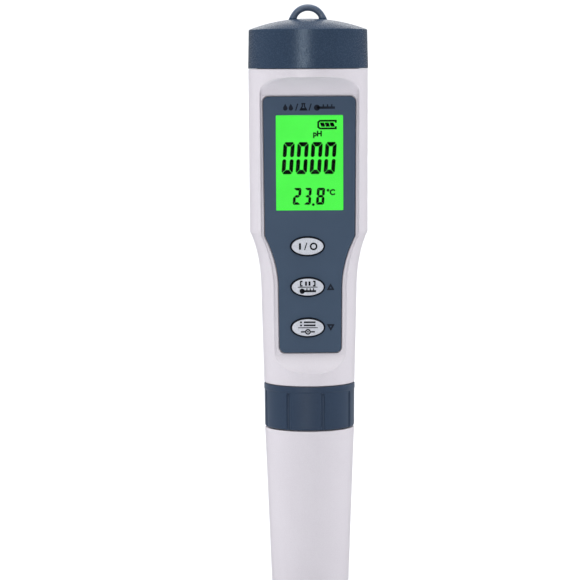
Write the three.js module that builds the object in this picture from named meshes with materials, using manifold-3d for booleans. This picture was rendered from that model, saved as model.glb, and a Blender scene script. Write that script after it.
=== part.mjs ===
// Pen-type water meter that reads pH, dissolved solids and temperature.
//
// Frame: millimetres, +Z up along the pen, origin at the centre of the protective sheath's flat bottom.
// The display faces -Y. From top to bottom: screw-on battery cap, housing, clamping collar, and a
// replaceable probe module under a pull-off sheath.
import * as THREE from "three";
import { mergeVertices } from "three/addons/utils/BufferGeometryUtils.js";
import Module from "manifold-3d";

const wasm = await Module();
wasm.setup();

// ---------------------------------------------------------------- driving dimensions (mm)
const SHEATH_H = 53.5; // the outer pieces, from the foot up
const COLLAR_H = 13.8;
const GRIP_H = 30.5; // housing, from the collar to the shoulder
const SHOULDER_H = 16.6;
const SHOULDER_RISE = 1; // the housing's own corner lies above the bezel's corner
const UPPER_H = 52.5; // housing, above the shoulder
const CAP_H = 12.05; // battery cap, from its rim to the edge of its dome
const DOME_H = 3.5;
const EYE_H = 4.5; // lanyard eye, above the dome
const DISC_GAP = 0.3; // visible gap between outer pieces that close on each other

const BODY_TOP_R = 18.9; // housing, outside, under the cap
const GRIP_LOW_R = 14.4; // housing, outside, at the collar
const BODY_DRAFT = 0.2; // each outer piece narrows downwards by this much on its radius
const GRIP_DRAFT = 0.77;
const COLLAR_DRAFT = 0.12;
const SHEATH_DRAFT = 2.1;
const CAP_DRAFT = 0.25; // the cap narrows upwards
const CAP_OVERHANG = 0.12; // the cap and the collar stand out past the housing, the sheath stands in
const COLLAR_OVERHANG = 0.08;
const SHEATH_STEP = 0.14;

const HOUSING_WALL = 1.9;
const CAP_WALL = 1.6;
const NECK_WALL = 1.5;
const COLLAR_WALL = 1.5;
const SPIGOT_WALL = 1.6;
const SHEATH_WALL = 1.3;
const SHEATH_FLOOR_T = 1.6;
const PROBE_WALL = 2.6;
const SLIDE_GAP = 0.3; // running clearance on radius
const SEAT_GAP = 0.1; // clearance between flat pieces that seat on each other

const FACE_Y = 9.2; // the flat display face lies this far in front of the axis
const SCOOP_TOP_H = 5.55; // at its ends the flat scoops outwards over these heights
const SCOOP_LOW_H = 5.7;
const SCOOP_TOP_MARGIN = 2.65; // from the scoops to the housing's ends
const SCOOP_LOW_MARGIN = 4;
const RECESS_TOP_MARGIN = 3.05; // from the housing's outside in to the recess's edge, in width
const RECESS_LOW_MARGIN = 3.37;

const PANEL_TOP_MARGIN = 1.27; // from the recess's edge in to the bezel panel, going down the panel
const PANEL_MID_MARGIN = 1.68;
const PANEL_GRIP_MARGIN = 1.88;
const PANEL_LOW_MARGIN = 2.08;
const PANEL_END_MARGIN = [0.5, 0.4]; // and from the flat's lower and upper ends
const PANEL_CORNER = 1.7;
const PANEL_T = 1.1;
const PANEL_PROUD = 0.4; // the panel stands out of the flat by this much
const PANEL_GAP = 0.25; // between the panel's edge and its pocket
const GASKET_T = 0.3;
const FLOOR_T = 1.4; // housing wall behind the panel's pocket

const SCREEN_W = 21.2; // visible window of the display
const SCREEN_H = 29.95;
const SCREEN_MARGIN = 5.9; // below the panel's top edge
const WINDOW_T = 0.9;
const LCD_BORDER = 0.7;
const LCD_T = 1.8;
const BACKLIGHT_T = 2.4;

const KEY_X = -0.8; // the keys sit a little left of the centre line
const KEY_DROP = 3.2; // the top key lies this far below the shoulder
const KEY_PITCH = 12.85;
const KEY_NAMES = ["power", "hold", "mode"];
const KEY_HALF_W = 5.2;
const KEY_HALF_H = 2.87;
const KEY_GAP = 0.3;
const KEY_FLANGE = 0.9; // the key's hidden flange is wider than its head by this much
const KEY_TRAVEL = 0.6;
const KEY_PROUD = 0.8; // above the panel's face

const LEAD = 3; // both screw threads advance this much for each turn
const RIDGE_R = 0.7; // the rounded thread ridge stands this far out of its wall
const THREAD_ROOM = 1.15; // between the wall of a neck and the wall of what screws on it
const MALE_TURNS = 1.5; // turns of ridge on the neck and the spigot, and in the cap and the collar
const FEMALE_TURNS = 1.2;
const NECK_H = 9.8;
const SPIGOT_H = 7.9;

const CELL_R = 5.25; // AAA battery cell
const CELL_H = 44.5;
const NUB_R = 1.9;
const NUB_H = 0.8;
const CELL_GAP = 0.15;
const TUBE_WALL = 0.75;
const TUBE_SHARED = 0.9; // the two battery tubes run into each other by this much
const TUBE_FIT = 0.228; // between the battery tubes and the neck's bore
const CELL_RISE = 2.4; // the cells stand up out of the housing, into its neck

const BOARD_T = 1.6;
const SCREW_R = 0.8;
const BULKHEAD_HOLE_R = 6.3; // between the probe's bore and the electronics
const SOCKET_H = 5.3;
const GUARD_LOW_Z = 8; // the probe's guard ends this far above the foot
const GUARD_H = 16;
const SENSOR_PLATE_T = 4;
const BULB_R = 3.6;
const BULB_DROP = 6.8; // from the sensor plate to the middle of the glass bulb
const STEM_R = 2.6;
const GLASS_T = 0.45;
const PIN_R = 0.5;
const PIN_COUNT = 6;
const PIN_CIRCLE_R = 3.6;

const FINE = 40; // sides of the large round pieces, and of smaller ones
const MEDIUM = 28;
const COARSE = 16;
const FAR = 60; // further out than any piece, for the tools that cut right through

// ---------------------------------------------------------------- sizes and places that follow
const SHEATH_TOP_Z = SHEATH_H;
const COLLAR_BOTTOM_Z = SHEATH_TOP_Z + DISC_GAP;
const COLLAR_TOP_Z = COLLAR_BOTTOM_Z + COLLAR_H;
const BODY_BOTTOM_Z = COLLAR_TOP_Z + DISC_GAP;
const GRIP_TOP_Z = BODY_BOTTOM_Z + GRIP_H;
const SHOULDER_TOP_Z = GRIP_TOP_Z + SHOULDER_H;
const BODY_TOP_Z = SHOULDER_TOP_Z + UPPER_H;
const CAP_RIM_Z = BODY_TOP_Z + DISC_GAP;
const DOME_EDGE_Z = CAP_RIM_Z + CAP_H;
const DOME_TOP_Z = DOME_EDGE_Z + DOME_H;
const EYE_TOP_Z = DOME_TOP_Z + EYE_H;

const BODY_MID_R = BODY_TOP_R - BODY_DRAFT;
const GRIP_TOP_R = GRIP_LOW_R + GRIP_DRAFT;
const CAP_R = BODY_TOP_R + CAP_OVERHANG;
const CAP_TOP_R = CAP_R - CAP_DRAFT;
const COLLAR_R = GRIP_LOW_R + COLLAR_OVERHANG;
const COLLAR_LOW_R = COLLAR_R - COLLAR_DRAFT;
const SHEATH_TOP_R = COLLAR_LOW_R - SHEATH_STEP;
const SHEATH_LOW_R = SHEATH_TOP_R - SHEATH_DRAFT;

const CAP_BORE_R = CAP_R - CAP_WALL;
const NECK_R = CAP_BORE_R - THREAD_ROOM;
const NECK_BORE_R = NECK_R - NECK_WALL;
const NECK_TOP_Z = BODY_TOP_Z + NECK_H;
const NECK_BORE_LOW_Z = BODY_TOP_Z - 2;
const NECK_THREAD_Z = BODY_TOP_Z + 3;
const COLLAR_BORE_R = COLLAR_R - COLLAR_WALL;
const LIP_TOP_Z = COLLAR_BOTTOM_Z + 3.4;
const SPIGOT_R = COLLAR_BORE_R - THREAD_ROOM;
const SPIGOT_BORE_R = SPIGOT_R - SPIGOT_WALL;
const SPIGOT_LOW_Z = BODY_BOTTOM_Z - SPIGOT_H;
const SPIGOT_THREAD_Z = SPIGOT_LOW_Z + 1.5;
const BULKHEAD_Z = [BODY_BOTTOM_Z + 1.6, BODY_BOTTOM_Z + 3.1];

const SCOOP_TOP_Z = BODY_TOP_Z - SCOOP_TOP_MARGIN;
const SCOOP_LOW_Z = BODY_BOTTOM_Z + SCOOP_LOW_MARGIN;
const FACE_TOP_Z = SCOOP_TOP_Z - SCOOP_TOP_H;
const FACE_LOW_Z = SCOOP_LOW_Z + SCOOP_LOW_H;
const RECESS_TOP_HALF = BODY_TOP_R - RECESS_TOP_MARGIN;
const RECESS_LOW_HALF = GRIP_TOP_R - RECESS_LOW_MARGIN;
const PANEL_TOP_Z = FACE_TOP_Z - PANEL_END_MARGIN[1];
const PANEL_LOW_Z = FACE_LOW_Z + PANEL_END_MARGIN[0];
const PANEL_FRONT_Y = -(FACE_Y + PANEL_PROUD);
const PANEL_BACK_Y = PANEL_FRONT_Y + PANEL_T;
const GASKET_BACK_Y = PANEL_BACK_Y + SEAT_GAP + GASKET_T;
const POCKET_Y = GASKET_BACK_Y + SEAT_GAP;
const FLOOR_BACK_Y = POCKET_Y + FLOOR_T;
const SCREEN_Z = PANEL_TOP_Z - SCREEN_MARGIN - SCREEN_H / 2;
const KEY_Z = [0, 1, 2].map((i) => SHOULDER_TOP_Z - KEY_DROP - i * KEY_PITCH);

const LCD_FRONT_Y = POCKET_Y + SEAT_GAP;
const LCD_BACK_Y = LCD_FRONT_Y + LCD_T;
const LCD_HALF_W = SCREEN_W / 2 + LCD_BORDER;
const LCD_Z = [SCREEN_Z - SCREEN_H / 2 - 3.4, SCREEN_Z + SCREEN_H / 2 + 1.1];
const BACKLIGHT_BACK_Y = LCD_BACK_Y + SEAT_GAP + BACKLIGHT_T;
const BOARD_FRONT_Y = BACKLIGHT_BACK_Y + 0.6;
const BOARD_BACK_Y = BOARD_FRONT_Y + BOARD_T;
const BOARD_Z = [PANEL_LOW_Z - 0.6, LCD_Z[1] + 6.1];
const BOARD_HALF_W = [GRIP_TOP_R - 5.8, LCD_HALF_W + 1];
const SCREW_Z = [BOARD_Z[1] - 2.2, (KEY_Z[1] + KEY_Z[2]) / 2, BOARD_Z[0] + 2.4];

const TUBE_BORE_R = CELL_R + CELL_GAP;
const TUBE_R = TUBE_BORE_R + TUBE_WALL;
const CELL_X = TUBE_R - TUBE_SHARED / 2;
const CELL_Y = Math.sqrt((NECK_BORE_R - TUBE_FIT - TUBE_R) ** 2 - CELL_X ** 2);
const CELL_TOP_Z = BODY_TOP_Z + CELL_RISE;
const CELL_BOTTOM_Z = CELL_TOP_Z - CELL_H;
const TUBE_FLOOR_Z = CELL_BOTTOM_Z - 3.7; // upper face of the battery tubes' floor
const CARRIER_Z = [CELL_TOP_Z + 3.2, CELL_TOP_Z + 5.2];
const POST_R = 1.5;

const PLUG_R = SPIGOT_BORE_R - SLIDE_GAP;
const PLUG_TOP_Z = BULKHEAD_Z[0] - 2.2;
const PROBE_R = PLUG_R + 0.5; // probe body, outside, below the collar
const PROBE_BORE_R = PROBE_R - PROBE_WALL;
const FLANGE_Z = [LIP_TOP_Z + 0.2, SPIGOT_LOW_Z - 0.5];
const PROBE_SEAL_Z = SPIGOT_LOW_Z + 3;
const SENSOR_PLATE_Z = [GUARD_LOW_Z + GUARD_H, GUARD_LOW_Z + GUARD_H + SENSOR_PLATE_T];
const BULB_Z = SENSOR_PLATE_Z[0] - BULB_DROP;

// ---------------------------------------------------------------- geometry to solid and back
function solidOf(geometry) {
  const bare = new THREE.BufferGeometry().setAttribute("position", geometry.getAttribute("position"));
  if (geometry.index) bare.setIndex(geometry.index);
  const merged = mergeVertices(bare, 1e-4);
  const made = new wasm.Manifold(
    new wasm.Mesh({
      numProp: 3,
      vertProperties: new Float32Array(merged.attributes.position.array),
      triVerts: new Uint32Array(merged.index.array),
    }),
  );
  if (made.volume() <= 0) throw new Error("a geometry is inside out");
  return made;
}

function geometryOf(solid) {
  const mesh = solid.getMesh();
  const positions = new Float32Array(mesh.numVert * 3);
  for (let i = 0; i < mesh.numVert; i++) {
    positions.set(mesh.vertProperties.subarray(i * mesh.numProp, i * mesh.numProp + 3), i * 3);
  }
  const geometry = new THREE.BufferGeometry()
    .setAttribute("position", new THREE.BufferAttribute(positions, 3))
    .setIndex(new THREE.BufferAttribute(mesh.triVerts, 1));
  geometry.computeVertexNormals();
  return geometry;
}

const cut = (body, ...tools) => tools.reduce((left, tool) => left.subtract(tool), body);
const join = (body, ...pieces) => pieces.reduce((left, piece) => left.add(piece), body);

// ---------------------------------------------------------------- shapes, each returned as a solid
// Turns a profile of [radius, z] points round the Z axis. It runs up the outside and down the inside,
// and closes on itself unless it starts and ends on the axis.
function turned(profile, sides = MEDIUM, x = 0, y = 0) {
  const points = profile.map(([r, z]) => new THREE.Vector2(r, z));
  const onAxis = points[0].x === 0 && points.at(-1).x === 0;
  if (!onAxis) points.push(points[0].clone());
  const geometry = new THREE.LatheGeometry(points, sides);
  return solidOf(geometry.rotateX(Math.PI / 2).translate(x, y, 0));
}

function disc(r, low, high, sides = MEDIUM, x = 0, y = 0) {
  return turned([[0, low], [r, low], [r, high], [0, high]], sides, x, y);
}

function ring(inner, outer, low, high, sides = MEDIUM, x = 0, y = 0) {
  return turned([[outer, low], [outer, high], [inner, high], [inner, low]], sides, x, y);
}

function oRing(r, wire, z, sides = MEDIUM) {
  return solidOf(new THREE.TorusGeometry(r, wire, 6, sides).translate(0, 0, z));
}

function box(x0, x1, y0, y1, z0, z1) {
  const geometry = new THREE.BoxGeometry(x1 - x0, y1 - y0, z1 - z0);
  return solidOf(geometry.translate((x0 + x1) / 2, (y0 + y1) / 2, (z0 + z1) / 2));
}

// Extrudes an outline drawn in X and Z from the front (low Y) to the back (high Y).
function plate(shape, front, back, curveSegments = 6) {
  const geometry = new THREE.ExtrudeGeometry(shape, {
    depth: back - front,
    bevelEnabled: false,
    curveSegments,
  });
  return solidOf(geometry.rotateX(Math.PI / 2).translate(0, back, 0));
}

function ellipse(x, z, halfW, halfH) {
  const shape = new THREE.Shape();
  shape.absellipse(x, z, halfW, halfH, 0, 2 * Math.PI);
  return shape;
}

function roundedRect(x, z, w, h, r) {
  const [l, b] = [x - w / 2, z - h / 2];
  const shape = new THREE.Shape();
  shape.moveTo(l + r, b).lineTo(l + w - r, b).quadraticCurveTo(l + w, b, l + w, b + r);
  shape.lineTo(l + w, b + h - r).quadraticCurveTo(l + w, b + h, l + w - r, b + h);
  shape.lineTo(l + r, b + h).quadraticCurveTo(l, b + h, l, b + h - r);
  shape.lineTo(l, b + r).quadraticCurveTo(l, b, l + r, b);
  return shape;
}

class Helix extends THREE.Curve {
  constructor(r, z, rise, turns, phase = 0) {
    super();
    Object.assign(this, { r, z, rise, turns, phase });
  }
  getPoint(t, target = new THREE.Vector3()) {
    const a = this.phase + 2 * Math.PI * this.turns * t;
    return target.set(this.r * Math.cos(a), this.r * Math.sin(a), this.z + this.rise * t);
  }
}

function tube(curve, r, steps, sides = 8) {
  const section = new THREE.Shape();
  section.absarc(0, 0, r, 0, 2 * Math.PI);
  const path = { extrudePath: curve, steps, curveSegments: sides / 2, bevelEnabled: false };
  return solidOf(new THREE.ExtrudeGeometry(section, path));
}

// A rounded right-hand thread ridge, sunk halfway into a wall of radius r, from z upwards.
// Male and female ridges share one helix, half a lead apart, so they never meet as one unscrews.
function ridge(r, z, turns, shareOfTurn) {
  const start = shareOfTurn * 2 * Math.PI;
  return tube(new Helix(r, z, LEAD * turns, turns, start), RIDGE_R, Math.round(20 * turns), 6);
}

function coil(r, wire, low, high, turns, x, y) {
  const wound = tube(new Helix(r, low + wire, high - low - 2 * wire, turns), wire, 12 * turns, 6);
  return wound.translate([x, y, 0]);
}

// ---------------------------------------------------------------- outlines shared by several pieces
// Half the waisted outline: full width above the shoulder, then an S-curve into the grip.
function waisted(topHalf, midHalf, gripHalf, lowHalf, top, low, corner) {
  const bend = SHOULDER_TOP_Z - 0.5 * (SHOULDER_TOP_Z - GRIP_TOP_Z);
  const shape = new THREE.Shape();
  shape.moveTo(0, low).lineTo(lowHalf - corner, low).quadraticCurveTo(lowHalf, low, lowHalf, low + corner);
  shape.lineTo(gripHalf, GRIP_TOP_Z).quadraticCurveTo(gripHalf, bend, midHalf, SHOULDER_TOP_Z);
  shape.lineTo(topHalf, top - corner).quadraticCurveTo(topHalf, top, topHalf - corner, top);
  shape.lineTo(corner - topHalf, top).quadraticCurveTo(-topHalf, top, -topHalf, top - corner);
  shape.lineTo(-midHalf, SHOULDER_TOP_Z).quadraticCurveTo(-gripHalf, bend, -gripHalf, GRIP_TOP_Z);
  shape.lineTo(-lowHalf, low + corner).quadraticCurveTo(-lowHalf, low, corner - lowHalf, low);
  return shape.closePath();
}

function panelOutline(grow) {
  return waisted(
    RECESS_TOP_HALF - PANEL_TOP_MARGIN + grow,
    RECESS_TOP_HALF - PANEL_MID_MARGIN + grow,
    RECESS_LOW_HALF - PANEL_GRIP_MARGIN + grow,
    RECESS_LOW_HALF - PANEL_LOW_MARGIN + grow,
    PANEL_TOP_Z + grow,
    PANEL_LOW_Z - grow,
    PANEL_CORNER + grow,
  );
}

// The housing's outside as [radius, z] points, from the collar up, inset by a wall where asked.
function bodyProfile(inset = 0) {
  const shoulder = new THREE.QuadraticBezierCurve(
    new THREE.Vector2(GRIP_TOP_R, GRIP_TOP_Z - 1.2),
    new THREE.Vector2(GRIP_TOP_R, SHOULDER_TOP_Z - 0.4 * (SHOULDER_TOP_Z - GRIP_TOP_Z)),
    new THREE.Vector2(BODY_MID_R, SHOULDER_TOP_Z + SHOULDER_RISE),
  );
  const curve = shoulder.getPoints(6).map((p) => [p.x - inset, p.y]);
  return [[GRIP_LOW_R - inset, BODY_BOTTOM_Z], ...curve, [BODY_TOP_R - inset, BODY_TOP_Z]];
}

// How far the scoop has travelled in Z when it has come forward by a share t of its depth.
const scooped = (t, round, rise) => (1 - (1 - t) ** round) ** rise;

// Everything in front of the display face: the flat, with a scoop at each end, inside the outline.
function recessTool() {
  const [reach, steps] = [FAR, 8];
  const side = new THREE.Shape();
  const points = [];
  const scoop = (flatZ, endZ, surfaceR, round, rise) => {
    for (let i = 0; i <= steps; i++) {
      const t = i / steps;
      const y = FACE_Y + (surfaceR - FACE_Y) * t;
      points.push([y, flatZ + (endZ - flatZ) * scooped(t, round, rise)]);
    }
  };
  scoop(FACE_LOW_Z, SCOOP_LOW_Z, GRIP_LOW_R + 0.1, 1.3, 0.77);
  points.push([reach, SCOOP_LOW_Z], [reach, SCOOP_TOP_Z]);
  const lower = points.splice(0);
  scoop(FACE_TOP_Z, SCOOP_TOP_Z, BODY_TOP_R, 1.85, 0.8);
  const loop = [...lower, ...points.reverse()];
  side.setFromPoints(loop.map(([y, z]) => new THREE.Vector2(y, z)));
  const geometry = new THREE.ExtrudeGeometry(side, { depth: 2 * reach, bevelEnabled: false });
  // The profile is drawn as (distance in front, z): turn it so that its first axis points to -Y.
  const turn = new THREE.Matrix4().makeBasis(
    new THREE.Vector3(0, -1, 0),
    new THREE.Vector3(0, 0, 1),
    new THREE.Vector3(-1, 0, 0),
  );
  const slab = solidOf(geometry.applyMatrix4(turn).translate(reach, 0, 0));
  const outline = waisted(
    RECESS_TOP_HALF,
    RECESS_TOP_HALF - 0.2,
    RECESS_LOW_HALF,
    RECESS_LOW_HALF,
    BODY_TOP_Z,
    BODY_BOTTOM_Z,
    1,
  );
  return slab.intersect(plate(outline, -reach, 0));
}

// ---------------------------------------------------------------- housing and the pieces fixed to it
function mainHousing() {
  const outside = turned([[0, BODY_BOTTOM_Z], ...bodyProfile(), [0, BODY_TOP_Z]], FINE);
  const neck = disc(NECK_R, BODY_TOP_Z - 1, NECK_TOP_Z, FINE);
  const spigot = disc(SPIGOT_R, SPIGOT_LOW_Z, BODY_BOTTOM_Z + 1, FINE);
  const neckThread = ridge(NECK_R, NECK_THREAD_Z, MALE_TURNS, 0);
  const spigotThread = ridge(SPIGOT_R, SPIGOT_THREAD_Z, MALE_TURNS, 0);
  const sealGroove = ring(NECK_R - 0.4, NECK_R + 2, BODY_TOP_Z + 0.5, BODY_TOP_Z + 1.9, FINE);

  const inside = bodyProfile(HOUSING_WALL).filter(([, z]) => z > GRIP_TOP_Z - 2 && z < BODY_TOP_Z);
  const lowR = GRIP_LOW_R - HOUSING_WALL;
  const shaft = turned(
    [
      [0, BULKHEAD_Z[1]],
      [lowR, BULKHEAD_Z[1]],
      ...inside,
      [BODY_TOP_R - HOUSING_WALL, NECK_BORE_LOW_Z],
      [0, NECK_BORE_LOW_Z],
    ],
    FINE,
  ).intersect(box(-FAR, FAR, FLOOR_BACK_Y, FAR, 0, EYE_TOP_Z));
  const neckBore = disc(NECK_BORE_R, NECK_BORE_LOW_Z - 0.1, NECK_TOP_Z + 1, FINE);
  const plugBore = disc(SPIGOT_BORE_R, SPIGOT_LOW_Z - 1, BULKHEAD_Z[0], FINE);
  const noseHole = disc(BULKHEAD_HOLE_R, SPIGOT_LOW_Z, BULKHEAD_Z[1] + 0.1, MEDIUM);

  const pocket = plate(panelOutline(PANEL_GAP), -FAR, POCKET_Y);
  const lcdHole = box(-LCD_HALF_W - 0.3, LCD_HALF_W + 0.3, -FAR, 0, LCD_Z[0] - 0.3, LCD_Z[1] + 0.3);
  const ribs = neckRibs(0);

  const shell = cut(join(outside, neck, spigot), sealGroove, recessTool());
  const threaded = join(shell, neckThread, spigotThread);
  const hollows = [shaft, neckBore, plugBore, noseHole, pocket, lcdHole, ...keyHoles(KEY_FLANGE + 0.3, 8)];
  return join(cut(threaded, ...hollows), ...ribs);
}

// Oval holes for the keys, larger than their heads by grow.
function keyHoles(grow, curveSegments) {
  return KEY_Z.map((z) =>
    plate(ellipse(KEY_X, z, KEY_HALF_W + grow, KEY_HALF_H + grow), -FAR, FLOOR_BACK_Y + 2, curveSegments),
  );
}

// Two ribs inside the neck keep the contact carrier from turning. Grown, they are its notches.
function neckRibs(grow) {
  const [half, depth] = [0.8 + grow, 0.7 + grow];
  return [-1, 1].map((side) => {
    const inner = side * (NECK_BORE_R - depth);
    const outer = side * (NECK_BORE_R + 0.6);
    return box(Math.min(inner, outer), Math.max(inner, outer), -half, half, NECK_BORE_LOW_Z, NECK_TOP_Z);
  });
}

function windowHole(grow) {
  return plate(roundedRect(0, SCREEN_Z, SCREEN_W + 2 * grow, SCREEN_H + 2 * grow, 0.3), -FAR, 0, 2);
}

function frontPanel() {
  const body = plate(panelOutline(0), PANEL_FRONT_Y, PANEL_BACK_Y);
  return cut(body, windowHole(0), ...keyHoles(KEY_GAP, 8));
}

function panelGasket() {
  const body = plate(panelOutline(-0.4), PANEL_BACK_Y + SEAT_GAP, GASKET_BACK_Y);
  return cut(body, windowHole(0.6), ...keyHoles(KEY_FLANGE + 0.3, 6));
}

function displayWindow() {
  const shape = roundedRect(0, SCREEN_Z, SCREEN_W - 0.1, SCREEN_H - 0.1, 0.3);
  return plate(shape, PANEL_FRONT_Y + 0.1, PANEL_FRONT_Y + 0.1 + WINDOW_T, 2);
}

const lcdGlass = () => box(-LCD_HALF_W, LCD_HALF_W, LCD_FRONT_Y, LCD_BACK_Y, ...LCD_Z);

const backlight = () =>
  box(-LCD_HALF_W, LCD_HALF_W, LCD_BACK_Y + SEAT_GAP, BACKLIGHT_BACK_Y, LCD_Z[0] + 2.6, LCD_Z[1] - 0.4);

function zebraStrip() {
  const [low, back] = [LCD_Z[0] + 0.4, BOARD_FRONT_Y - 0.05];
  return box(-LCD_HALF_W + 1, LCD_HALF_W - 1, LCD_BACK_Y + 0.05, back, low, low + 1.8);
}

function displayFrame() {
  const [front, back] = [FLOOR_BACK_Y + 0.2, BOARD_FRONT_Y - SEAT_GAP];
  const edge = 0.9;
  const outer = box(-LCD_HALF_W - edge, LCD_HALF_W + edge, front, back, LCD_Z[0] - edge, LCD_Z[1] + edge);
  const grown = LCD_HALF_W + 0.15;
  return cut(outer, box(-grown, grown, front - 1, back + 1, LCD_Z[0] - 0.15, LCD_Z[1] + 0.15));
}

function boardOutline() {
  const [low, high] = BOARD_Z;
  const [narrow, wide] = BOARD_HALF_W;
  const step = LCD_Z[0] - 2;
  const points = [[narrow, low], [narrow, step - 3], [wide, step], [wide, high]];
  const mirrored = points.map(([x, z]) => [-x, z]).reverse();
  return new THREE.Shape([...points, ...mirrored].map(([x, z]) => new THREE.Vector2(x, z)));
}

function mainBoard() {
  const holes = SCREW_Z.map((z) => plate(ellipse(0, z, SCREW_R + 0.3, SCREW_R + 0.3), -FAR, FAR, 4));
  return cut(plate(boardOutline(), BOARD_FRONT_Y, BOARD_BACK_Y), ...holes);
}

// A cross-recessed screw that comes through the board from the front into the chassis.
function boardScrew(z) {
  const axis = turned(
    [[0, -3.4], [SCREW_R, -3.4], [SCREW_R, 0.1], [SCREW_R + 1, 0.1], [SCREW_R + 0.7, 0.9], [0, 1]],
    COARSE,
  );
  const cross = join(box(-1.1, 1.1, -0.15, 0.15, 0.5, 2), box(-0.15, 0.15, -1.1, 1.1, 0.5, 2));
  return cut(axis, cross).rotate([90, 0, 0]).translate([0, BOARD_FRONT_Y, z]);
}

function tactSwitch(z) {
  const front = BOARD_FRONT_Y - 1.3;
  const body = box(KEY_X - 2.3, KEY_X + 2.3, front, BOARD_FRONT_Y - 0.05, z - 2.3, z + 2.3);
  return cut(body, plate(ellipse(KEY_X, z, 1.25, 1.25), front - 1, BOARD_FRONT_Y - 0.35, 5));
}

function controllerChip() {
  return box(-3.5, 3.5, BOARD_BACK_Y + 0.05, BOARD_BACK_Y + 1.25, KEY_Z[0] - 5.4, KEY_Z[0] + 1.6);
}

function amplifierChip() {
  return box(-2, 2, BOARD_BACK_Y + 0.05, BOARD_BACK_Y + 1.35, KEY_Z[2] - 0.8, KEY_Z[2] + 4.2);
}

function clockCrystal() {
  return plate(roundedRect(6.2, KEY_Z[0] - 1.9, 2.4, 6.2, 1), BOARD_BACK_Y + 0.05, BOARD_BACK_Y + 1.4, 4);
}

// Two battery tubes side by side on a spine that the board is screwed to.
function innerChassis() {
  const [low, top] = [TUBE_FLOOR_Z - 1.5, CELL_TOP_Z - 3.4];
  const [spineFront, spineBack] = [BOARD_BACK_Y + 2.6, BOARD_BACK_Y + 4.2];
  const sides = [-CELL_X, CELL_X];
  const tubes = sides.map((x) => disc(TUBE_R, low, top, MEDIUM, x, CELL_Y));
  const bores = sides.map((x) => disc(TUBE_BORE_R, TUBE_FLOOR_Z, top + 1, MEDIUM, x, CELL_Y));
  const spine = box(-7, 7, spineFront, spineBack, SCREW_Z[2] - 1.4, low + 1.5);
  const hook = box(-7, 7, spineFront, Math.max(spineBack, CELL_Y), low, low + 1.5);
  const foot = box(-7, 7, spineFront, spineFront + 5.8, SCREW_Z[2] - 1.4, SCREW_Z[2] + 0.2);
  const alongY = (solid, z) => solid.rotate([90, 0, 0]).translate([0, 0, z]);
  const bosses = SCREW_Z.slice(1).map((z) =>
    alongY(disc(2, -spineFront - 0.1, -BOARD_BACK_Y - SEAT_GAP, COARSE), z),
  );
  const topBoss = box(-2.4, 2.4, BOARD_BACK_Y + SEAT_GAP, CELL_Y - 1, SCREW_Z[0] - 2.4, SCREW_Z[0] + 2.4);
  const holes = SCREW_Z.map((z) => alongY(disc(SCREW_R + 0.2, -6, -BOARD_BACK_Y + 1, COARSE), z));
  return cut(join(...tubes, spine, hook, foot, ...bosses, topBoss), ...bores, ...holes);
}

function batteryCell(x, positiveUp) {
  const [low, top] = [CELL_BOTTOM_Z, CELL_TOP_Z];
  const profile = positiveUp
    ? [[0, low], [CELL_R - 0.3, low], [CELL_R, low + 0.3], [CELL_R, top - NUB_H - 0.3],
       [CELL_R - 0.3, top - NUB_H], [NUB_R, top - NUB_H], [NUB_R, top], [0, top]]
    : [[0, low], [NUB_R, low], [NUB_R, low + NUB_H], [CELL_R - 0.3, low + NUB_H],
       [CELL_R, low + NUB_H + 0.3], [CELL_R, top - 0.3], [CELL_R - 0.3, top], [0, top]];
  return turned(profile, 24, x, CELL_Y);
}

function cellSpring() {
  const wound = coil(3.2, 0.3, TUBE_FLOOR_Z + 0.45, CELL_BOTTOM_Z - 0.1, 3, -CELL_X, CELL_Y);
  return join(wound, disc(3.6, TUBE_FLOOR_Z + SEAT_GAP, TUBE_FLOOR_Z + 0.5, COARSE, -CELL_X, CELL_Y));
}

function cellContact() {
  const base = disc(3.6, TUBE_FLOOR_Z + SEAT_GAP, TUBE_FLOOR_Z + 0.5, COARSE, CELL_X, CELL_Y);
  const [low, top] = [TUBE_FLOOR_Z + 0.3, CELL_BOTTOM_Z - 0.1];
  const dome = turned([[0, low], [2.4, low], [1.2, top - 0.1], [0, top]], COARSE, CELL_X, CELL_Y);
  return join(base, dome);
}

function pinPlaces() {
  return Array.from({ length: PIN_COUNT }, (_, i) => {
    const a = (2 * Math.PI * i) / PIN_COUNT + Math.PI / 2;
    return [PIN_CIRCLE_R * Math.cos(a), PIN_CIRCLE_R * Math.sin(a)];
  });
}

// The socket that the probe's pins enter from below. Its nose reaches down through the bulkhead.
function probeSocket() {
  const [low, top] = [BULKHEAD_Z[1] + SEAT_GAP, BULKHEAD_Z[1] + SEAT_GAP + SOCKET_H];
  const block = disc(GRIP_LOW_R - HOUSING_WALL - 0.15, low, top, FINE).intersect(
    box(-FAR, FAR, FLOOR_BACK_Y + SLIDE_GAP, FAR, low - 1, top + 1),
  );
  const nose = disc(BULKHEAD_HOLE_R - 0.9, BULKHEAD_Z[0] - 1.5, low + 1, MEDIUM);
  const holes = pinPlaces().map(([x, y]) => disc(PIN_R + 0.25, SPIGOT_LOW_Z, low + 3.1, 10, x, y));
  return cut(join(block, nose), ...holes);
}

const socketSeal = () => oRing(BULKHEAD_HOLE_R - 0.48, 0.38, (BULKHEAD_Z[0] + BULKHEAD_Z[1]) / 2, 32);

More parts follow.
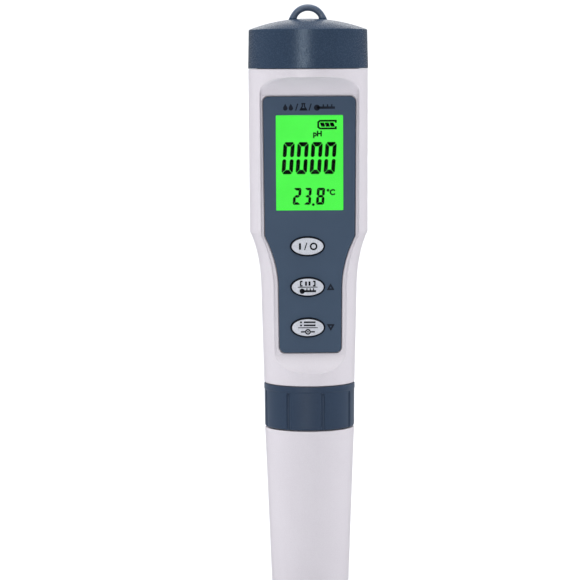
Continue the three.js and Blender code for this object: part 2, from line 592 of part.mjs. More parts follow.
// Flat ribbon from the board's lower edge down to the socket.
function socketRibbon() {
  const [y, z] = [BOARD_BACK_Y + 0.25, BOARD_Z[0]];
  const end = BULKHEAD_Z[1] + SOCKET_H + 2 * SEAT_GAP;
  const path = new THREE.Shape(
    [[y, z + 6.5], [y + 0.3, z + 6.5], [y + 0.3, z + 2.1], [y + 1.4, z + 0.1], [y + 1.4, end],
     [y + 1.1, end], [y + 1.1, z], [y, z + 2]].map(([a, b]) => new THREE.Vector2(a, b)),
  );
  const turn = new THREE.Matrix4().makeBasis(
    new THREE.Vector3(0, 1, 0),
    new THREE.Vector3(0, 0, 1),
    new THREE.Vector3(1, 0, 0),
  );
  const strip = new THREE.ExtrudeGeometry(path, { depth: 5, bevelEnabled: false });
  return solidOf(strip.applyMatrix4(turn).translate(2.2, 0, 0));
}

const neckSeal = () => oRing(NECK_R + 0.35, 0.62, BODY_TOP_Z + 1.2, FINE);

// ---------------------------------------------------------------- contact carrier, under the cap
function contactCarrier() {
  const plateBody = disc(NECK_BORE_R - 0.4, ...CARRIER_Z, FINE);
  const post = disc(POST_R, CARRIER_Z[1] - 0.5, CARRIER_Z[1] + 3.4, COARSE);
  return join(cut(plateBody, ...neckRibs(0.35)), post);
}

// The metal strip that joins the two cells, with a dimple for the positive nub.
function bridgePlate() {
  const top = CARRIER_Z[0] - SEAT_GAP;
  const strip = box(-CELL_X - 3.6, CELL_X + 3.6, CELL_Y - 3, CELL_Y + 3, top - 0.4, top);
  const dimple = turned(
    [[0, CELL_TOP_Z + 0.1], [1.1, CELL_TOP_Z + 0.15], [2.2, top - 0.2], [0, top - 0.2]],
    COARSE, -CELL_X, CELL_Y,
  );
  return join(strip, dimple);
}

function bridgeSpring() {
  const top = CARRIER_Z[0] - SEAT_GAP - 0.45;
  return coil(2.8, 0.3, CELL_TOP_Z + 0.1, top, 2, CELL_X, CELL_Y);
}

// ---------------------------------------------------------------- battery cap with its lanyard eye
const domeR = (CAP_TOP_R ** 2 + (DOME_TOP_Z - DOME_EDGE_Z) ** 2) / (2 * (DOME_TOP_Z - DOME_EDGE_Z));
const domeZ = (r) => DOME_TOP_Z - domeR + Math.sqrt(domeR ** 2 - r ** 2);

const EYE_WIRE = 1.05;
const EYE_R = 4.7; // to the middle of the wire, across
const EYE_BASE_Z = DOME_TOP_Z - 1.1;

class Eye extends THREE.Curve {
  getPoint(t, target = new THREE.Vector3()) {
    const a = Math.PI * (1.06 * t - 0.03);
    const rise = EYE_TOP_Z - EYE_WIRE - EYE_BASE_Z;
    return target.set(EYE_R * Math.cos(a), 0, EYE_BASE_Z + rise * Math.sin(a));
  }
}

function batteryCap() {
  const arc = [0.96, 0.86, 0.72, 0.56, 0.4, 0.22].map((share) => share * CAP_TOP_R);
  const dome = arc.map((r) => [r, domeZ(r)]);
  const outside = turned(
    [[0, CAP_RIM_Z], [CAP_R - 0.3, CAP_RIM_Z], [CAP_R, CAP_RIM_Z + 0.3], [CAP_TOP_R, DOME_EDGE_Z - 0.5],
     [CAP_TOP_R - 0.2, DOME_EDGE_Z - 0.1], ...dome, [0, DOME_TOP_Z]],
    FINE,
  );
  const hollowR = CAP_BORE_R - 1.2;
  const inner = [0.95, 0.7, 0.4].map((share) => [share * hollowR, domeZ(share * hollowR) - CAP_WALL]);
  const inside = turned(
    [[0, CAP_RIM_Z - 1], [CAP_BORE_R, CAP_RIM_Z - 1], [CAP_BORE_R, NECK_TOP_Z + 0.5],
     [hollowR, NECK_TOP_Z + 0.6], ...inner, [0, DOME_TOP_Z - CAP_WALL]],
    FINE,
  );
  const boss = disc(POST_R + 1.5, CARRIER_Z[1] + DISC_GAP, DOME_TOP_Z - 1, 24);
  const bossBore = disc(POST_R + 0.15, CARRIER_Z[1] - 1, CARRIER_Z[1] + 4.2, COARSE);
  const thread = ridge(CAP_BORE_R, NECK_THREAD_Z + (0.6 - 0.5) * LEAD, FEMALE_TURNS, 0.6);
  const eye = tube(new Eye(), EYE_WIRE, 16, 8);
  return cut(join(cut(outside, inside), boss, thread, eye), bossBore);
}

// ---------------------------------------------------------------- keys
function keyCap(z) {
  const face = PANEL_FRONT_Y - KEY_PROUD;
  const flangeFront = PANEL_BACK_Y + 0.1;
  const crown = plate(ellipse(KEY_X, z, KEY_HALF_W - 0.35, KEY_HALF_H - 0.35), face, face + 0.5, 10);
  const head = plate(ellipse(KEY_X, z, KEY_HALF_W, KEY_HALF_H), face + 0.3, flangeFront + 0.2, 10);
  const flange = plate(
    ellipse(KEY_X, z, KEY_HALF_W + KEY_FLANGE, KEY_HALF_H + KEY_FLANGE), flangeFront, flangeFront + 0.8, 8,
  );
  const stem = plate(ellipse(KEY_X, z, 1.5, 1.5), flangeFront + 0.5, plungerFront() - SEAT_GAP, 6);
  return join(crown, head, flange, stem);
}

// The tact switch's plunger stands this far in front of its body, so that a full press just closes it.
const plungerFront = () => BOARD_FRONT_Y - 1.3 - KEY_TRAVEL - 0.15;

const plunger = (z) => plate(ellipse(KEY_X, z, 1, 1), plungerFront(), BOARD_FRONT_Y - 1.2, 5);

// ---------------------------------------------------------------- probe module
function probeBody() {
  const outside = turned(
    [[0, GUARD_LOW_Z], [PROBE_R - 0.7, GUARD_LOW_Z], [PROBE_R - 0.2, GUARD_LOW_Z + 0.5],
     [PROBE_R, GUARD_LOW_Z + GUARD_H], [PROBE_R, FLANGE_Z[0]], [SPIGOT_R + 0.2, FLANGE_Z[0]],
     [SPIGOT_R + 0.2, FLANGE_Z[1]], [PLUG_R, FLANGE_Z[1]], [PLUG_R, PLUG_TOP_Z - 0.4],
     [PLUG_R - 0.4, PLUG_TOP_Z], [0, PLUG_TOP_Z]],
    FINE,
  );
  const bore = disc(PROBE_BORE_R, SENSOR_PLATE_Z[0] - 1, PLUG_TOP_Z + 1, MEDIUM);
  const well = disc(PROBE_R - 1.8, GUARD_LOW_Z - 1, SENSOR_PLATE_Z[0], MEDIUM);
  const sealGroove = ring(PLUG_R - 1.05, PLUG_R + 1, PROBE_SEAL_Z - 0.9, PROBE_SEAL_Z + 0.9, FINE);
  const slotTop = SENSOR_PLATE_Z[0] - 3;
  const slots = [0, 90].map((turn) =>
    plate(roundedRect(0, (GUARD_LOW_Z + slotTop) / 2 - 4, 8, slotTop - GUARD_LOW_Z + 8, 2.5), -20, 20, 4)
      .rotate([0, 0, turn]),
  );
  return cut(outside, bore, well, sealGroove, ...slots);
}

const probeSeal = () => oRing(PLUG_R - 0.38, 0.6, PROBE_SEAL_Z, FINE);

function pinCarrier() {
  const body = disc(PROBE_BORE_R - 0.2, PLUG_TOP_Z - 2.4, PLUG_TOP_Z - 0.2, MEDIUM);
  return cut(body, ...pinPlaces().map(([x, y]) => disc(PIN_R + 0.1, 0, BODY_TOP_Z, 10, x, y)));
}

function contactPin([x, y]) {
  const top = BULKHEAD_Z[1] + 0.9;
  return turned(
    [[0, PLUG_TOP_Z - 5], [PIN_R, PLUG_TOP_Z - 5], [PIN_R, top - 0.4], [PIN_R * 0.5, top], [0, top]],
    10, x, y,
  );
}

const SENSOR_CIRCLE_R = (STEM_R + PROBE_BORE_R) / 2 + 0.4;
const SENSORS = {
  reference: [0, SENSOR_CIRCLE_R],
  tdsLeft: [-SENSOR_CIRCLE_R, 0],
  tdsRight: [SENSOR_CIRCLE_R, 0],
  thermistor: [0, -SENSOR_CIRCLE_R],
};

// pH electrode: a blown glass bulb on a stem, open at the top where its wire comes out.
function glassElectrode() {
  const [wall, top] = [GLASS_T, SENSOR_PLATE_Z[1] + 22];
  const bulb = (r, low, high, steps) =>
    Array.from({ length: steps + 1 }, (_, i) => {
      const a = low + ((high - low) * i) / steps;
      return [r * Math.sin(a), BULB_Z - r * Math.cos(a)];
    });
  const [outerJoin, innerJoin] = [STEM_R / BULB_R, (STEM_R - wall) / (BULB_R - wall)].map(
    (share) => Math.PI - Math.asin(share),
  );
  const outer = bulb(BULB_R, 0, outerJoin, 10);
  const inner = bulb(BULB_R - wall, 0, innerJoin, 8).reverse();
  outer[0][0] = 0;
  inner.at(-1)[0] = 0;
  return turned([...outer, [STEM_R, top], [STEM_R - wall, top], ...inner], 18);
}

const electrodeWire = () => disc(0.35, BULB_Z - 1.5, SENSOR_PLATE_Z[1] + 28, 8);

function sensorPlate() {
  const body = disc(PROBE_BORE_R - 0.2, ...SENSOR_PLATE_Z, MEDIUM);
  const holes = [[0, 0, STEM_R], [...SENSORS.reference, 1.1], [...SENSORS.tdsLeft, 0.7],
    [...SENSORS.tdsRight, 0.7], [...SENSORS.thermistor, 1.3]];
  return cut(body, ...holes.map(([x, y, r]) => disc(r + 0.12, 0, BODY_TOP_Z, COARSE, x, y)));
}

const referenceJunction = () =>
  disc(1.1, SENSOR_PLATE_Z[0] - 0.5, SENSOR_PLATE_Z[1] + 2, COARSE, ...SENSORS.reference);

function roundTipped(r, low, high, [x, y]) {
  return turned(
    [[0, low], [0.5 * r, low + 0.13 * r], [0.87 * r, low + 0.5 * r], [r, low + r], [r, high], [0, high]],
    COARSE, x, y,
  );
}

// ---------------------------------------------------------------- clamping collar
function collarRing() {
  const [low, top] = [COLLAR_BOTTOM_Z, COLLAR_TOP_Z];
  const lipR = PROBE_R + 0.35;
  const body = turned(
    [[COLLAR_LOW_R - 0.9, low], [COLLAR_LOW_R - 0.25, low + 0.3], [COLLAR_LOW_R, low + 1],
     [COLLAR_R - 0.1, top - 2.6], [COLLAR_R, top - 2.4], [COLLAR_R, top - 0.2], [COLLAR_R - 0.2, top],
     [COLLAR_BORE_R, top], [COLLAR_BORE_R, LIP_TOP_Z], [lipR, LIP_TOP_Z], [lipR, low]],
    FINE,
  );
  const grooves = Array.from({ length: 8 }, (_, i) => {
    const a = (i * Math.PI) / 4 + (15 * Math.PI) / 180;
    const r = COLLAR_R - 0.15;
    return tube(new THREE.LineCurve3(
      new THREE.Vector3(r * Math.sin(a), -r * Math.cos(a), top - 2.8),
      new THREE.Vector3((r - 0.3) * Math.sin(a), -(r - 0.3) * Math.cos(a), low - 1),
    ), 0.5, 1, 8);
  });
  const thread = ridge(COLLAR_BORE_R, SPIGOT_THREAD_Z + 0.5 * LEAD, FEMALE_TURNS, 0);
  return join(cut(body, ...grooves), thread);
}

// ---------------------------------------------------------------- sheath
const sheathAt = (z) => SHEATH_LOW_R + (SHEATH_DRAFT * z) / SHEATH_TOP_Z; // outside radius at a height
const sheathBoreAt = (z) => sheathAt(z) - SHEATH_WALL;

function probeSheath() {
  const floor = SHEATH_FLOOR_T;
  return turned(
    [[0, 0], [SHEATH_LOW_R - 0.8, 0], [SHEATH_LOW_R - 0.2, 0.25], [sheathAt(0.9), 0.9],
     [SHEATH_TOP_R, SHEATH_TOP_Z - 0.2], [SHEATH_TOP_R - 0.2, SHEATH_TOP_Z],
     [sheathBoreAt(SHEATH_TOP_Z), SHEATH_TOP_Z], [sheathBoreAt(floor + 0.6), floor + 0.6],
     [sheathBoreAt(floor) - 0.6, floor], [0, floor]],
    FINE,
  );
}

// The lip inside the sheath's mouth that grips the probe and keeps the storage liquid in.
function sheathSeal() {
  const [low, high] = [SHEATH_TOP_Z - 5.5, SHEATH_TOP_Z - 2.7];
  return ring(PROBE_R + 0.12, sheathBoreAt(low) - 0.24, low, high, FINE);
}

const storageSponge = () =>
  disc(SHEATH_LOW_R - SHEATH_WALL - 0.85, SHEATH_FLOOR_T + SEAT_GAP, GUARD_LOW_Z - 1.2, MEDIUM);

// ---------------------------------------------------------------- materials
const look = (color, roughness, metalness = 0) =>
  new THREE.MeshStandardMaterial({ color, roughness, metalness });

const finish = {
  shell: look(0xe2dee4, 0.45),
  slate: look(0x3b4a5c, 0.55),
  panel: look(0x455465, 0.5),
  key: look(0xd6d8de, 0.5),
  window: look(0xffffff, 0.05),
  lcd: look(0x55fa53, 0.3),
  diffuser: look(0xf4f7f0, 0.6),
  rubber: look(0x22262b, 0.8),
  silicone: look(0xc9ccd1, 0.7),
  board: look(0x1d6b3a, 0.5),
  chip: look(0x1b1b1d, 0.6),
  frame: look(0xd9d9d6, 0.6),
  steel: look(0xb9bcc0, 0.3, 1),
  gold: look(0xd4a645, 0.25, 1),
  cell: look(0x3a4d8c, 0.35, 0.4),
  glass: look(0xeaf4f6, 0.05),
  ceramic: look(0xf0ebe0, 0.8),
  sponge: look(0xe6e2c8, 0.95),
};

// ---------------------------------------------------------------- assembly
const meter = new THREE.Group();

function addNode(name, solid, material) {
  const mesh = new THREE.Mesh(geometryOf(solid), material);
  mesh.name = name;
  meter.add(mesh);
}

addNode("main_housing", mainHousing(), finish.shell);
addNode("front_panel", frontPanel(), finish.panel);
addNode("panel_gasket", panelGasket(), finish.rubber);
addNode("display_window", displayWindow(), finish.window);
addNode("lcd_glass", lcdGlass(), finish.lcd);
addNode("backlight_panel", backlight(), finish.diffuser);
addNode("zebra_connector", zebraStrip(), finish.rubber);
addNode("display_frame", displayFrame(), finish.frame);
addNode("main_board", mainBoard(), finish.board);
addNode("controller_chip", controllerChip(), finish.chip);
addNode("amplifier_chip", amplifierChip(), finish.chip);
addNode("clock_crystal", clockCrystal(), finish.steel);
addNode("inner_chassis", innerChassis(), finish.frame);
addNode("battery_cell_left", batteryCell(-CELL_X, true), finish.cell);
addNode("battery_cell_right", batteryCell(CELL_X, false), finish.cell);
addNode("cell_spring", cellSpring(), finish.steel);
addNode("cell_contact", cellContact(), finish.steel);
addNode("probe_socket", probeSocket(), finish.rubber);
addNode("socket_seal", socketSeal(), finish.rubber);
addNode("socket_ribbon", socketRibbon(), finish.frame);
addNode("neck_seal", neckSeal(), finish.rubber);
SCREW_Z.forEach((z, i) => addNode(`board_screw_${i + 1}`, boardScrew(z), finish.steel));

KEY_Z.forEach((z, i) => {
  addNode(`${KEY_NAMES[i]}_button`, keyCap(z), finish.key);
  addNode(`${KEY_NAMES[i]}_switch`, tactSwitch(z), finish.steel);
  addNode(`${KEY_NAMES[i]}_plunger`, plunger(z), finish.chip);
});

addNode("contact_carrier", contactCarrier(), finish.frame);
addNode("bridge_plate", bridgePlate(), finish.steel);
addNode("bridge_spring", bridgeSpring(), finish.steel);
addNode("battery_cap", batteryCap(), finish.slate);

addNode("probe_body", probeBody(), finish.shell);
addNode("probe_seal", probeSeal(), finish.rubber);
addNode("pin_carrier", pinCarrier(), finish.chip);
pinPlaces().forEach((place, i) => addNode(`contact_pin_${i + 1}`, contactPin(place), finish.gold));
addNode("sensor_plate", sensorPlate(), finish.chip);
addNode("glass_electrode", glassElectrode(), finish.glass);
addNode("electrode_wire", electrodeWire(), finish.steel);
addNode("reference_junction", referenceJunction(), finish.ceramic);
const sensorTip = (r, drop, place) =>
  roundTipped(r, SENSOR_PLATE_Z[0] - drop, SENSOR_PLATE_Z[1] + 4, place);
addNode("tds_pin_left", sensorTip(0.7, 9, SENSORS.tdsLeft), finish.steel);
addNode("tds_pin_right", sensorTip(0.7, 9, SENSORS.tdsRight), finish.steel);
addNode("temperature_sensor", sensorTip(1.3, 10, SENSORS.thermistor), finish.steel);

addNode("collar_ring", collarRing(), finish.slate);
addNode("probe_sheath", probeSheath(), finish.shell);
addNode("sheath_seal", sheathSeal(), finish.silicone);
addNode("storage_sponge", storageSponge(), finish.sponge);

export default meter;
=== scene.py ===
"""Looks of a pen-type water meter: fine meshes, materials, floor, lights and camera.

Shapes are worked out in millimetres in the part's own frame (+Z up the pen, the display facing -Y)
and become metres when a mesh is made.
"""

import math

import bmesh
import bpy
import numpy as np
from mathutils import Matrix, Quaternion, Vector


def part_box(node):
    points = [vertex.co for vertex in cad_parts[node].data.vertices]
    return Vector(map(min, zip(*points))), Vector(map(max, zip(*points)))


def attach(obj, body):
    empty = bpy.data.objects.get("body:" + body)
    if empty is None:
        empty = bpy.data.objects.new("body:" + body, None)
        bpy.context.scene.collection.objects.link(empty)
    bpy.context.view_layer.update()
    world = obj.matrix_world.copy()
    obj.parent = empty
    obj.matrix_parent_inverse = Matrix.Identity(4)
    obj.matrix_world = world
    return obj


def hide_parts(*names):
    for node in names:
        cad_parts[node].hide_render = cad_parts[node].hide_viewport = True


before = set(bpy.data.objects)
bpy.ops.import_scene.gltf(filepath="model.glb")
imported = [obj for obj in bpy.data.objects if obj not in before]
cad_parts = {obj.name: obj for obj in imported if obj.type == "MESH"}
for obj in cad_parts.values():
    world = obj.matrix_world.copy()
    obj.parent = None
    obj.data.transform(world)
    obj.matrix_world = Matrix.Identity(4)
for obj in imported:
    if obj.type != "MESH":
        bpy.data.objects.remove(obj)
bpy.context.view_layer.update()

MM = 0.001
TAU = 2 * math.pi


# ---- sizes, read from the CAD where it has them
def span(node):
    """Lowest and highest corner of a CAD node in millimetres."""
    return [[c / MM for c in corner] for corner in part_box(node)]


def middle(node):
    """X, Y and Z of the middle of a CAD node's box in millimetres."""
    low, high = span(node)
    return [(a + b) / 2 for a, b in zip(low, high)]


GAP = 0.3  # between outer pieces
SHEATH_TOP_Z = span("probe_sheath")[1][2]
SHEATH_TOP_R = span("probe_sheath")[1][0]
SHEATH_DRAFT = 2.1
COLLAR_LOW_Z, COLLAR_TOP_Z = span("collar_ring")[0][2], span("collar_ring")[1][2]
COLLAR_R = span("collar_ring")[1][0]
BODY_LOW_Z = COLLAR_TOP_Z + GAP
GRIP_TOP_Z = BODY_LOW_Z + 30.5
SHOULDER_TOP_Z = GRIP_TOP_Z + 16.6
BODY_TOP_Z = span("battery_cap")[0][2] - GAP
NECK_TOP_Z = span("main_housing")[1][2]
SPIGOT_LOW_Z = span("main_housing")[0][2]
BODY_TOP_R = span("main_housing")[1][0]
BODY_MID_R = BODY_TOP_R - 0.2
GRIP_LOW_R = COLLAR_R - 0.08
GRIP_TOP_R = GRIP_LOW_R + 0.77
CAP_R = span("battery_cap")[1][0]
CAP_TOP_R = CAP_R - 0.25
DOME_EDGE_Z = BODY_TOP_Z + GAP + 12.05
DOME_TOP_Z = DOME_EDGE_Z + 3.5
EYE_TOP_Z = span("battery_cap")[1][2]
CAP_BORE_R = CAP_R - 1.6
NECK_R = CAP_BORE_R - 1.15
NECK_BORE_R = NECK_R - 1.5
COLLAR_BORE_R = COLLAR_R - 1.5
SPIGOT_R = COLLAR_BORE_R - 1.15
SPIGOT_BORE_R = SPIGOT_R - 1.6
PLUG_R = SPIGOT_BORE_R - 0.3
PROBE_R = PLUG_R + 0.5
PROBE_BORE_R = PROBE_R - 2.6
HOUSING_WALL = 1.9
LEAD = 3.0  # of both threads, for each turn
RIDGE_R = 0.7
NECK_THREAD_Z, SPIGOT_THREAD_Z = BODY_TOP_Z + 3, SPIGOT_LOW_Z + 1.5
MALE_TURNS, FEMALE_TURNS = 1.5, 1.2

PANEL_LOW_Z, PANEL_TOP_Z = span("front_panel")[0][2], span("front_panel")[1][2]
PANEL_FRONT_Y, PANEL_BACK_Y = span("front_panel")[0][1], span("front_panel")[1][1]
FACE_Y = -PANEL_FRONT_Y - 0.4
FACE_TOP_Z, FACE_LOW_Z = PANEL_TOP_Z + 0.4, PANEL_LOW_Z - 0.5
SCOOP_TOP_Z, SCOOP_LOW_Z = FACE_TOP_Z + 5.55, FACE_LOW_Z - 5.7
RECESS_TOP_HALF, RECESS_LOW_HALF = BODY_TOP_R - 3.05, GRIP_TOP_R - 3.37
POCKET_Y = PANEL_BACK_Y + 0.5
FLOOR_BACK_Y = POCKET_Y + 1.4
SCREEN_X, _, SCREEN_Z = middle("display_window")
SCREEN_W, SCREEN_H = 21.2, 29.95
KEYS = {name: middle(f"{name}_button")[::2] for name in ("power", "hold", "mode")}
KEY_HALF = (5.2, 2.87)
KEY_FACE_Y = span("power_button")[0][1]
CARRIER_TOP_Z = span("contact_carrier")[0][2] + 2
CELL_R = 5.25
BULB_R, STEM_R, GLASS_T = 3.6, 2.6, 0.45
PRINT_T = 0.03  # printed marks stand out by this much
AHEAD_Y = -30  # tools that cut the front begin here, well in front of it


# ---- small geometry
def smoothstep(low, high, x):
    t = np.clip((x - low) / (high - low), 0, 1)
    return t * t * (3 - 2 * t)


def soft_max(a, b, k):
    """The larger of a and b, with the crease between them rounded over a height of k."""
    h = np.clip(k - np.abs(a - b), 0, None) / k
    return np.maximum(a, b) + h * h * k / 4


def bezier(start, control, end, steps):
    t = np.linspace(0, 1, steps + 1)[:, None]
    start, control, end = (np.array(p, float) for p in (start, control, end))
    return (1 - t) ** 2 * start + 2 * t * (1 - t) * control + t * t * end


def rounded(points, steps=5, closed=False):
    """2-D points, some with a third number, the radius of an arc that replaces that corner."""
    out = []
    count = len(points)
    for i, point in enumerate(points):
        here = np.array(point[:2], float)
        radius = point[2] if len(point) > 2 else 0
        inner = closed or 0 < i < count - 1
        if not radius or not inner:
            out.append(here)
            continue
        to_last = np.array(points[i - 1][:2], float) - here
        to_next = np.array(points[(i + 1) % count][:2], float) - here
        u, v = to_last / np.linalg.norm(to_last), to_next / np.linalg.norm(to_next)
        half = math.acos(max(-1, min(1, float(u @ v)))) / 2
        centre = here + (u + v) / np.linalg.norm(u + v) * radius / math.sin(half)
        first, last = here + u * radius / math.tan(half), here + v * radius / math.tan(half)
        a = math.atan2(*(first - centre)[::-1])
        turn = (math.atan2(*(last - centre)[::-1]) - a + math.pi) % TAU - math.pi
        for k in range(steps + 1):
            b = a + turn * k / steps
            out.append(centre + radius * np.array([math.cos(b), math.sin(b)]))
    return np.array(out)


def add(name, data):
    obj = bpy.data.objects.new(name, data)
    bpy.context.scene.collection.objects.link(obj)
    return obj


def new_object(name, verts, faces):
    mesh = bpy.data.meshes.new(name)
    mesh.from_pydata((np.asarray(verts, float) * MM).tolist(), [], faces)
    mesh.update()
    return add(name, mesh)


def face_outwards(obj, merge=True):
    mesh = bmesh.new()
    mesh.from_mesh(obj.data)
    if merge:
        bmesh.ops.remove_doubles(mesh, verts=mesh.verts, dist=1e-7)
    bmesh.ops.recalc_face_normals(mesh, faces=mesh.faces)
    mesh.to_mesh(obj.data)
    mesh.free()
    return obj


def loft(name, rings, ends=True):
    """Joins equal rings of points with quads, and closes the first and last ring."""
    rings = np.asarray(rings, float)
    count, n = rings.shape[:2]
    faces = [
        (i * n + j, i * n + (j + 1) % n, (i + 1) * n + (j + 1) % n, (i + 1) * n + j)
        for i in range(count - 1)
        for j in range(n)
    ]
    if ends:
        faces.append(tuple(range(n))[::-1])
        faces.append(tuple(range((count - 1) * n, count * n)))
    return face_outwards(new_object(name, rings.reshape(-1, 3), faces))


def lathe(name, profile, sides=144, x=0, y=0, steps=5):
    """Turns (radius, z[, corner radius]) points round Z. A profile off the axis closes on itself."""
    on_axis = profile[0][0] == 0 and profile[-1][0] == 0
    line = rounded(profile, steps, closed=not on_axis)
    a = np.arange(sides) / sides * TAU
    verts, faces, rows = [], [], []
    for r, z in line:
        if r < 1e-6:
            rows.append([len(verts)] * sides)
            verts.append((x, y, z))
        else:
            rows.append(list(range(len(verts), len(verts) + sides)))
            verts.extend(zip(x + r * np.sin(a), y - r * np.cos(a), np.full(sides, z)))
    pairs = list(zip(rows, rows[1:])) + ([] if on_axis else [(rows[-1], rows[0])])
    for low, high in pairs:
        for j in range(sides):
            k = (j + 1) % sides
            loop = list(dict.fromkeys((low[j], low[k], high[k], high[j])))
            if len(loop) > 2:
                faces.append(tuple(loop))
    return face_outwards(new_object(name, verts, faces))


def sweep(name, path, radius, sides=12, ends=True):
    """A round bar along a path. radius is a number, or one for each point."""
    path = np.asarray(path, float)
    radius = np.broadcast_to(radius, len(path))
    tangent = np.gradient(path, axis=0)
    tangent /= np.linalg.norm(tangent, axis=1)[:, None]
    up = np.array([0.0, 0.0, 1.0]) if abs(tangent[0][2]) < 0.9 else np.array([0.0, 1.0, 0.0])
    rings = []
    for point, t, r in zip(path, tangent, radius):
        side = np.cross(t, up)
        side /= np.linalg.norm(side)
        up = np.cross(side, t)
        a = np.arange(sides) / sides * TAU
        rings.append(point + r * (np.outer(np.cos(a), side) + np.outer(np.sin(a), up)))
    return loft(name, rings, ends)


def helix(r, z, rise, turns, share=0.0, steps_per_turn=64, x=0, y=0):
    t = np.linspace(0, 1, int(turns * steps_per_turn) + 1)
    a = TAU * (share + turns * t)
    return np.column_stack([x + r * np.cos(a), y + r * np.sin(a), z + rise * t])


def ridge(name, r, z, turns, share):
    """A rounded thread ridge half sunk into a wall, running out to nothing at both ends."""
    path = helix(r, z, LEAD * turns, turns, share)
    t = np.linspace(0, turns, len(path))
    fade = smoothstep(0, 0.12, t) * smoothstep(0, 0.12, turns - t)
    return sweep(name, path, 0.12 + (RIDGE_R - 0.12) * fade)


def o_ring(name, r, wire, z):
    a = np.arange(97) / 96 * TAU
    path = np.column_stack([r * np.sin(a), -r * np.cos(a), np.full(97, z)])
    rings = []
    for point, b in zip(path[:-1], a[:-1]):
        c = np.arange(14) / 14 * TAU
        out = np.array([math.sin(b), -math.cos(b), 0])
        rings.append(point + wire * (np.outer(np.cos(c), out) + np.outer(np.sin(c), [0, 0, 1])))
    rings.append(rings[0])
    return loft(name, rings, ends=False)


def prism(name, outline, stations):
    """A plug along Y. outline(grow) gives (x, z) points, and each station is (y, grow)."""
    rings = []
    for y, grow in stations:
        points = outline(grow)
        rings.append(np.column_stack([points[:, 0], np.full(len(points), y), points[:, 1]]))
    return loft(name, rings)


def box(name, x0, x1, y0, y1, z0, z1):
    corners = np.array([(x0, z0), (x1, z0), (x1, z1), (x0, z1)], float)
    return prism(name, lambda grow: corners, [(y0, 0), (y1, 0)])


def evaluated(obj):
    graph = bpy.context.evaluated_depsgraph_get()
    return bpy.data.meshes.new_from_object(obj.evaluated_get(graph))


def bake(obj):
    mesh = evaluated(obj)
    old = obj.data
    obj.modifiers.clear()
    obj.data = mesh
    bpy.data.meshes.remove(old)
    return obj


def bevel(obj, width_mm, segments, angle):
    edge = obj.modifiers.new("edge", "BEVEL")
    edge.width = width_mm * MM
    edge.segments = segments
    edge.limit_method = "ANGLE"
    edge.angle_limit = math.radians(angle)


def boolean(obj, operation, *others):
    for other in others:
        step = obj.modifiers.new("boolean", "BOOLEAN")
        step.operation = operation
        step.solver = "MANIFOLD"
        step.object = other
        bake(obj)
        mesh = other.data
        bpy.data.objects.remove(other)
        bpy.data.meshes.remove(mesh)
    return obj


def cut(obj, *tools):
    return boolean(obj, "DIFFERENCE", *tools)


def join(obj, *others):
    return boolean(obj, "UNION", *others)


# ---- outlines in X and Z, as functions of grow
def ellipse(x, z, half_w, half_h, n=96):
    a = np.arange(n) / n * TAU
    return lambda grow: np.column_stack(
        [x + (half_w + grow) * np.cos(a), z + (half_h + grow) * np.sin(a)]
    )


def rounded_rect(x, z, w, h, r, n=6):
    def outline(grow):
        a, b, c = w / 2 + grow, h / 2 + grow, max(r + grow, 0.02)
        corners = [(x - a, z - b, c), (x + a, z - b, c), (x + a, z + b, c), (x - a, z + b, c)]
        return rounded(corners, n, closed=True)

    return outline


def waist(mid_half, grip_half):
    """The S-curve between the grip and the shoulder, as (half width, z) points going up."""
    bend = (SHOULDER_TOP_Z + GRIP_TOP_Z) / 2
    return bezier((grip_half, GRIP_TOP_Z), (grip_half, bend), (mid_half, SHOULDER_TOP_Z), 28)


def panel_outline(grow):
    top, mid = RECESS_TOP_HALF - 1.27 + grow, RECESS_TOP_HALF - 1.68 + grow
    grip, low = RECESS_LOW_HALF - 1.88 + grow, RECESS_LOW_HALF - 2.08 + grow
    side = [tuple(p) for p in waist(mid, grip)]
    corner = 1.8 + grow
    half = [(low, PANEL_LOW_Z - grow, corner), *side, (top, PANEL_TOP_Z + grow, corner)]
    other = [(-p[0], *p[1:]) for p in reversed(half)]
    return rounded(half + other, 8, closed=True)


def body_line():
    """The housing's outside as (z, radius), going up."""
    bend = SHOULDER_TOP_Z - 0.4 * (SHOULDER_TOP_Z - GRIP_TOP_Z)
    curve = bezier((GRIP_TOP_R, GRIP_TOP_Z - 1.2), (GRIP_TOP_R, bend), (BODY_MID_R, SHOULDER_TOP_Z + 1), 60)
    line = [(GRIP_LOW_R, BODY_LOW_Z), *map(tuple, curve), (BODY_TOP_R, BODY_TOP_Z)]
    return np.array(line)[:, ::-1].T


def recess_line():
    """The recess's half width as (z, half width), going up."""
    curve = waist(RECESS_TOP_HALF - 0.2, RECESS_LOW_HALF)
    line = [(RECESS_LOW_HALF, BODY_LOW_Z), *map(tuple, curve), (RECESS_TOP_HALF, BODY_TOP_Z)]
    return np.array(line)[:, ::-1].T


# ---- housing
def face_y(z):
    """Y of the recess's floor at a height: flat, with a scoop that comes forward at each end."""
    y = np.full_like(z, -FACE_Y)
    for flat_z, end_z, surface_r, bend, rise in (
        (FACE_TOP_Z, SCOOP_TOP_Z, BODY_TOP_R, 1.85, 0.8),
        (FACE_LOW_Z, SCOOP_LOW_Z, GRIP_LOW_R + 0.1, 1.3, 0.77),
    ):
        share = (z - flat_z) / (end_z - flat_z)
        inside = np.clip(share, 0, 1)
        t = 1 - (1 - inside ** (1 / rise)) ** (1 / bend)
        y = np.where(share > 0, -(FACE_Y + (surface_r - FACE_Y) * t), y)
        y = np.where(share >= 1, -(surface_r + 5), y)
    return y


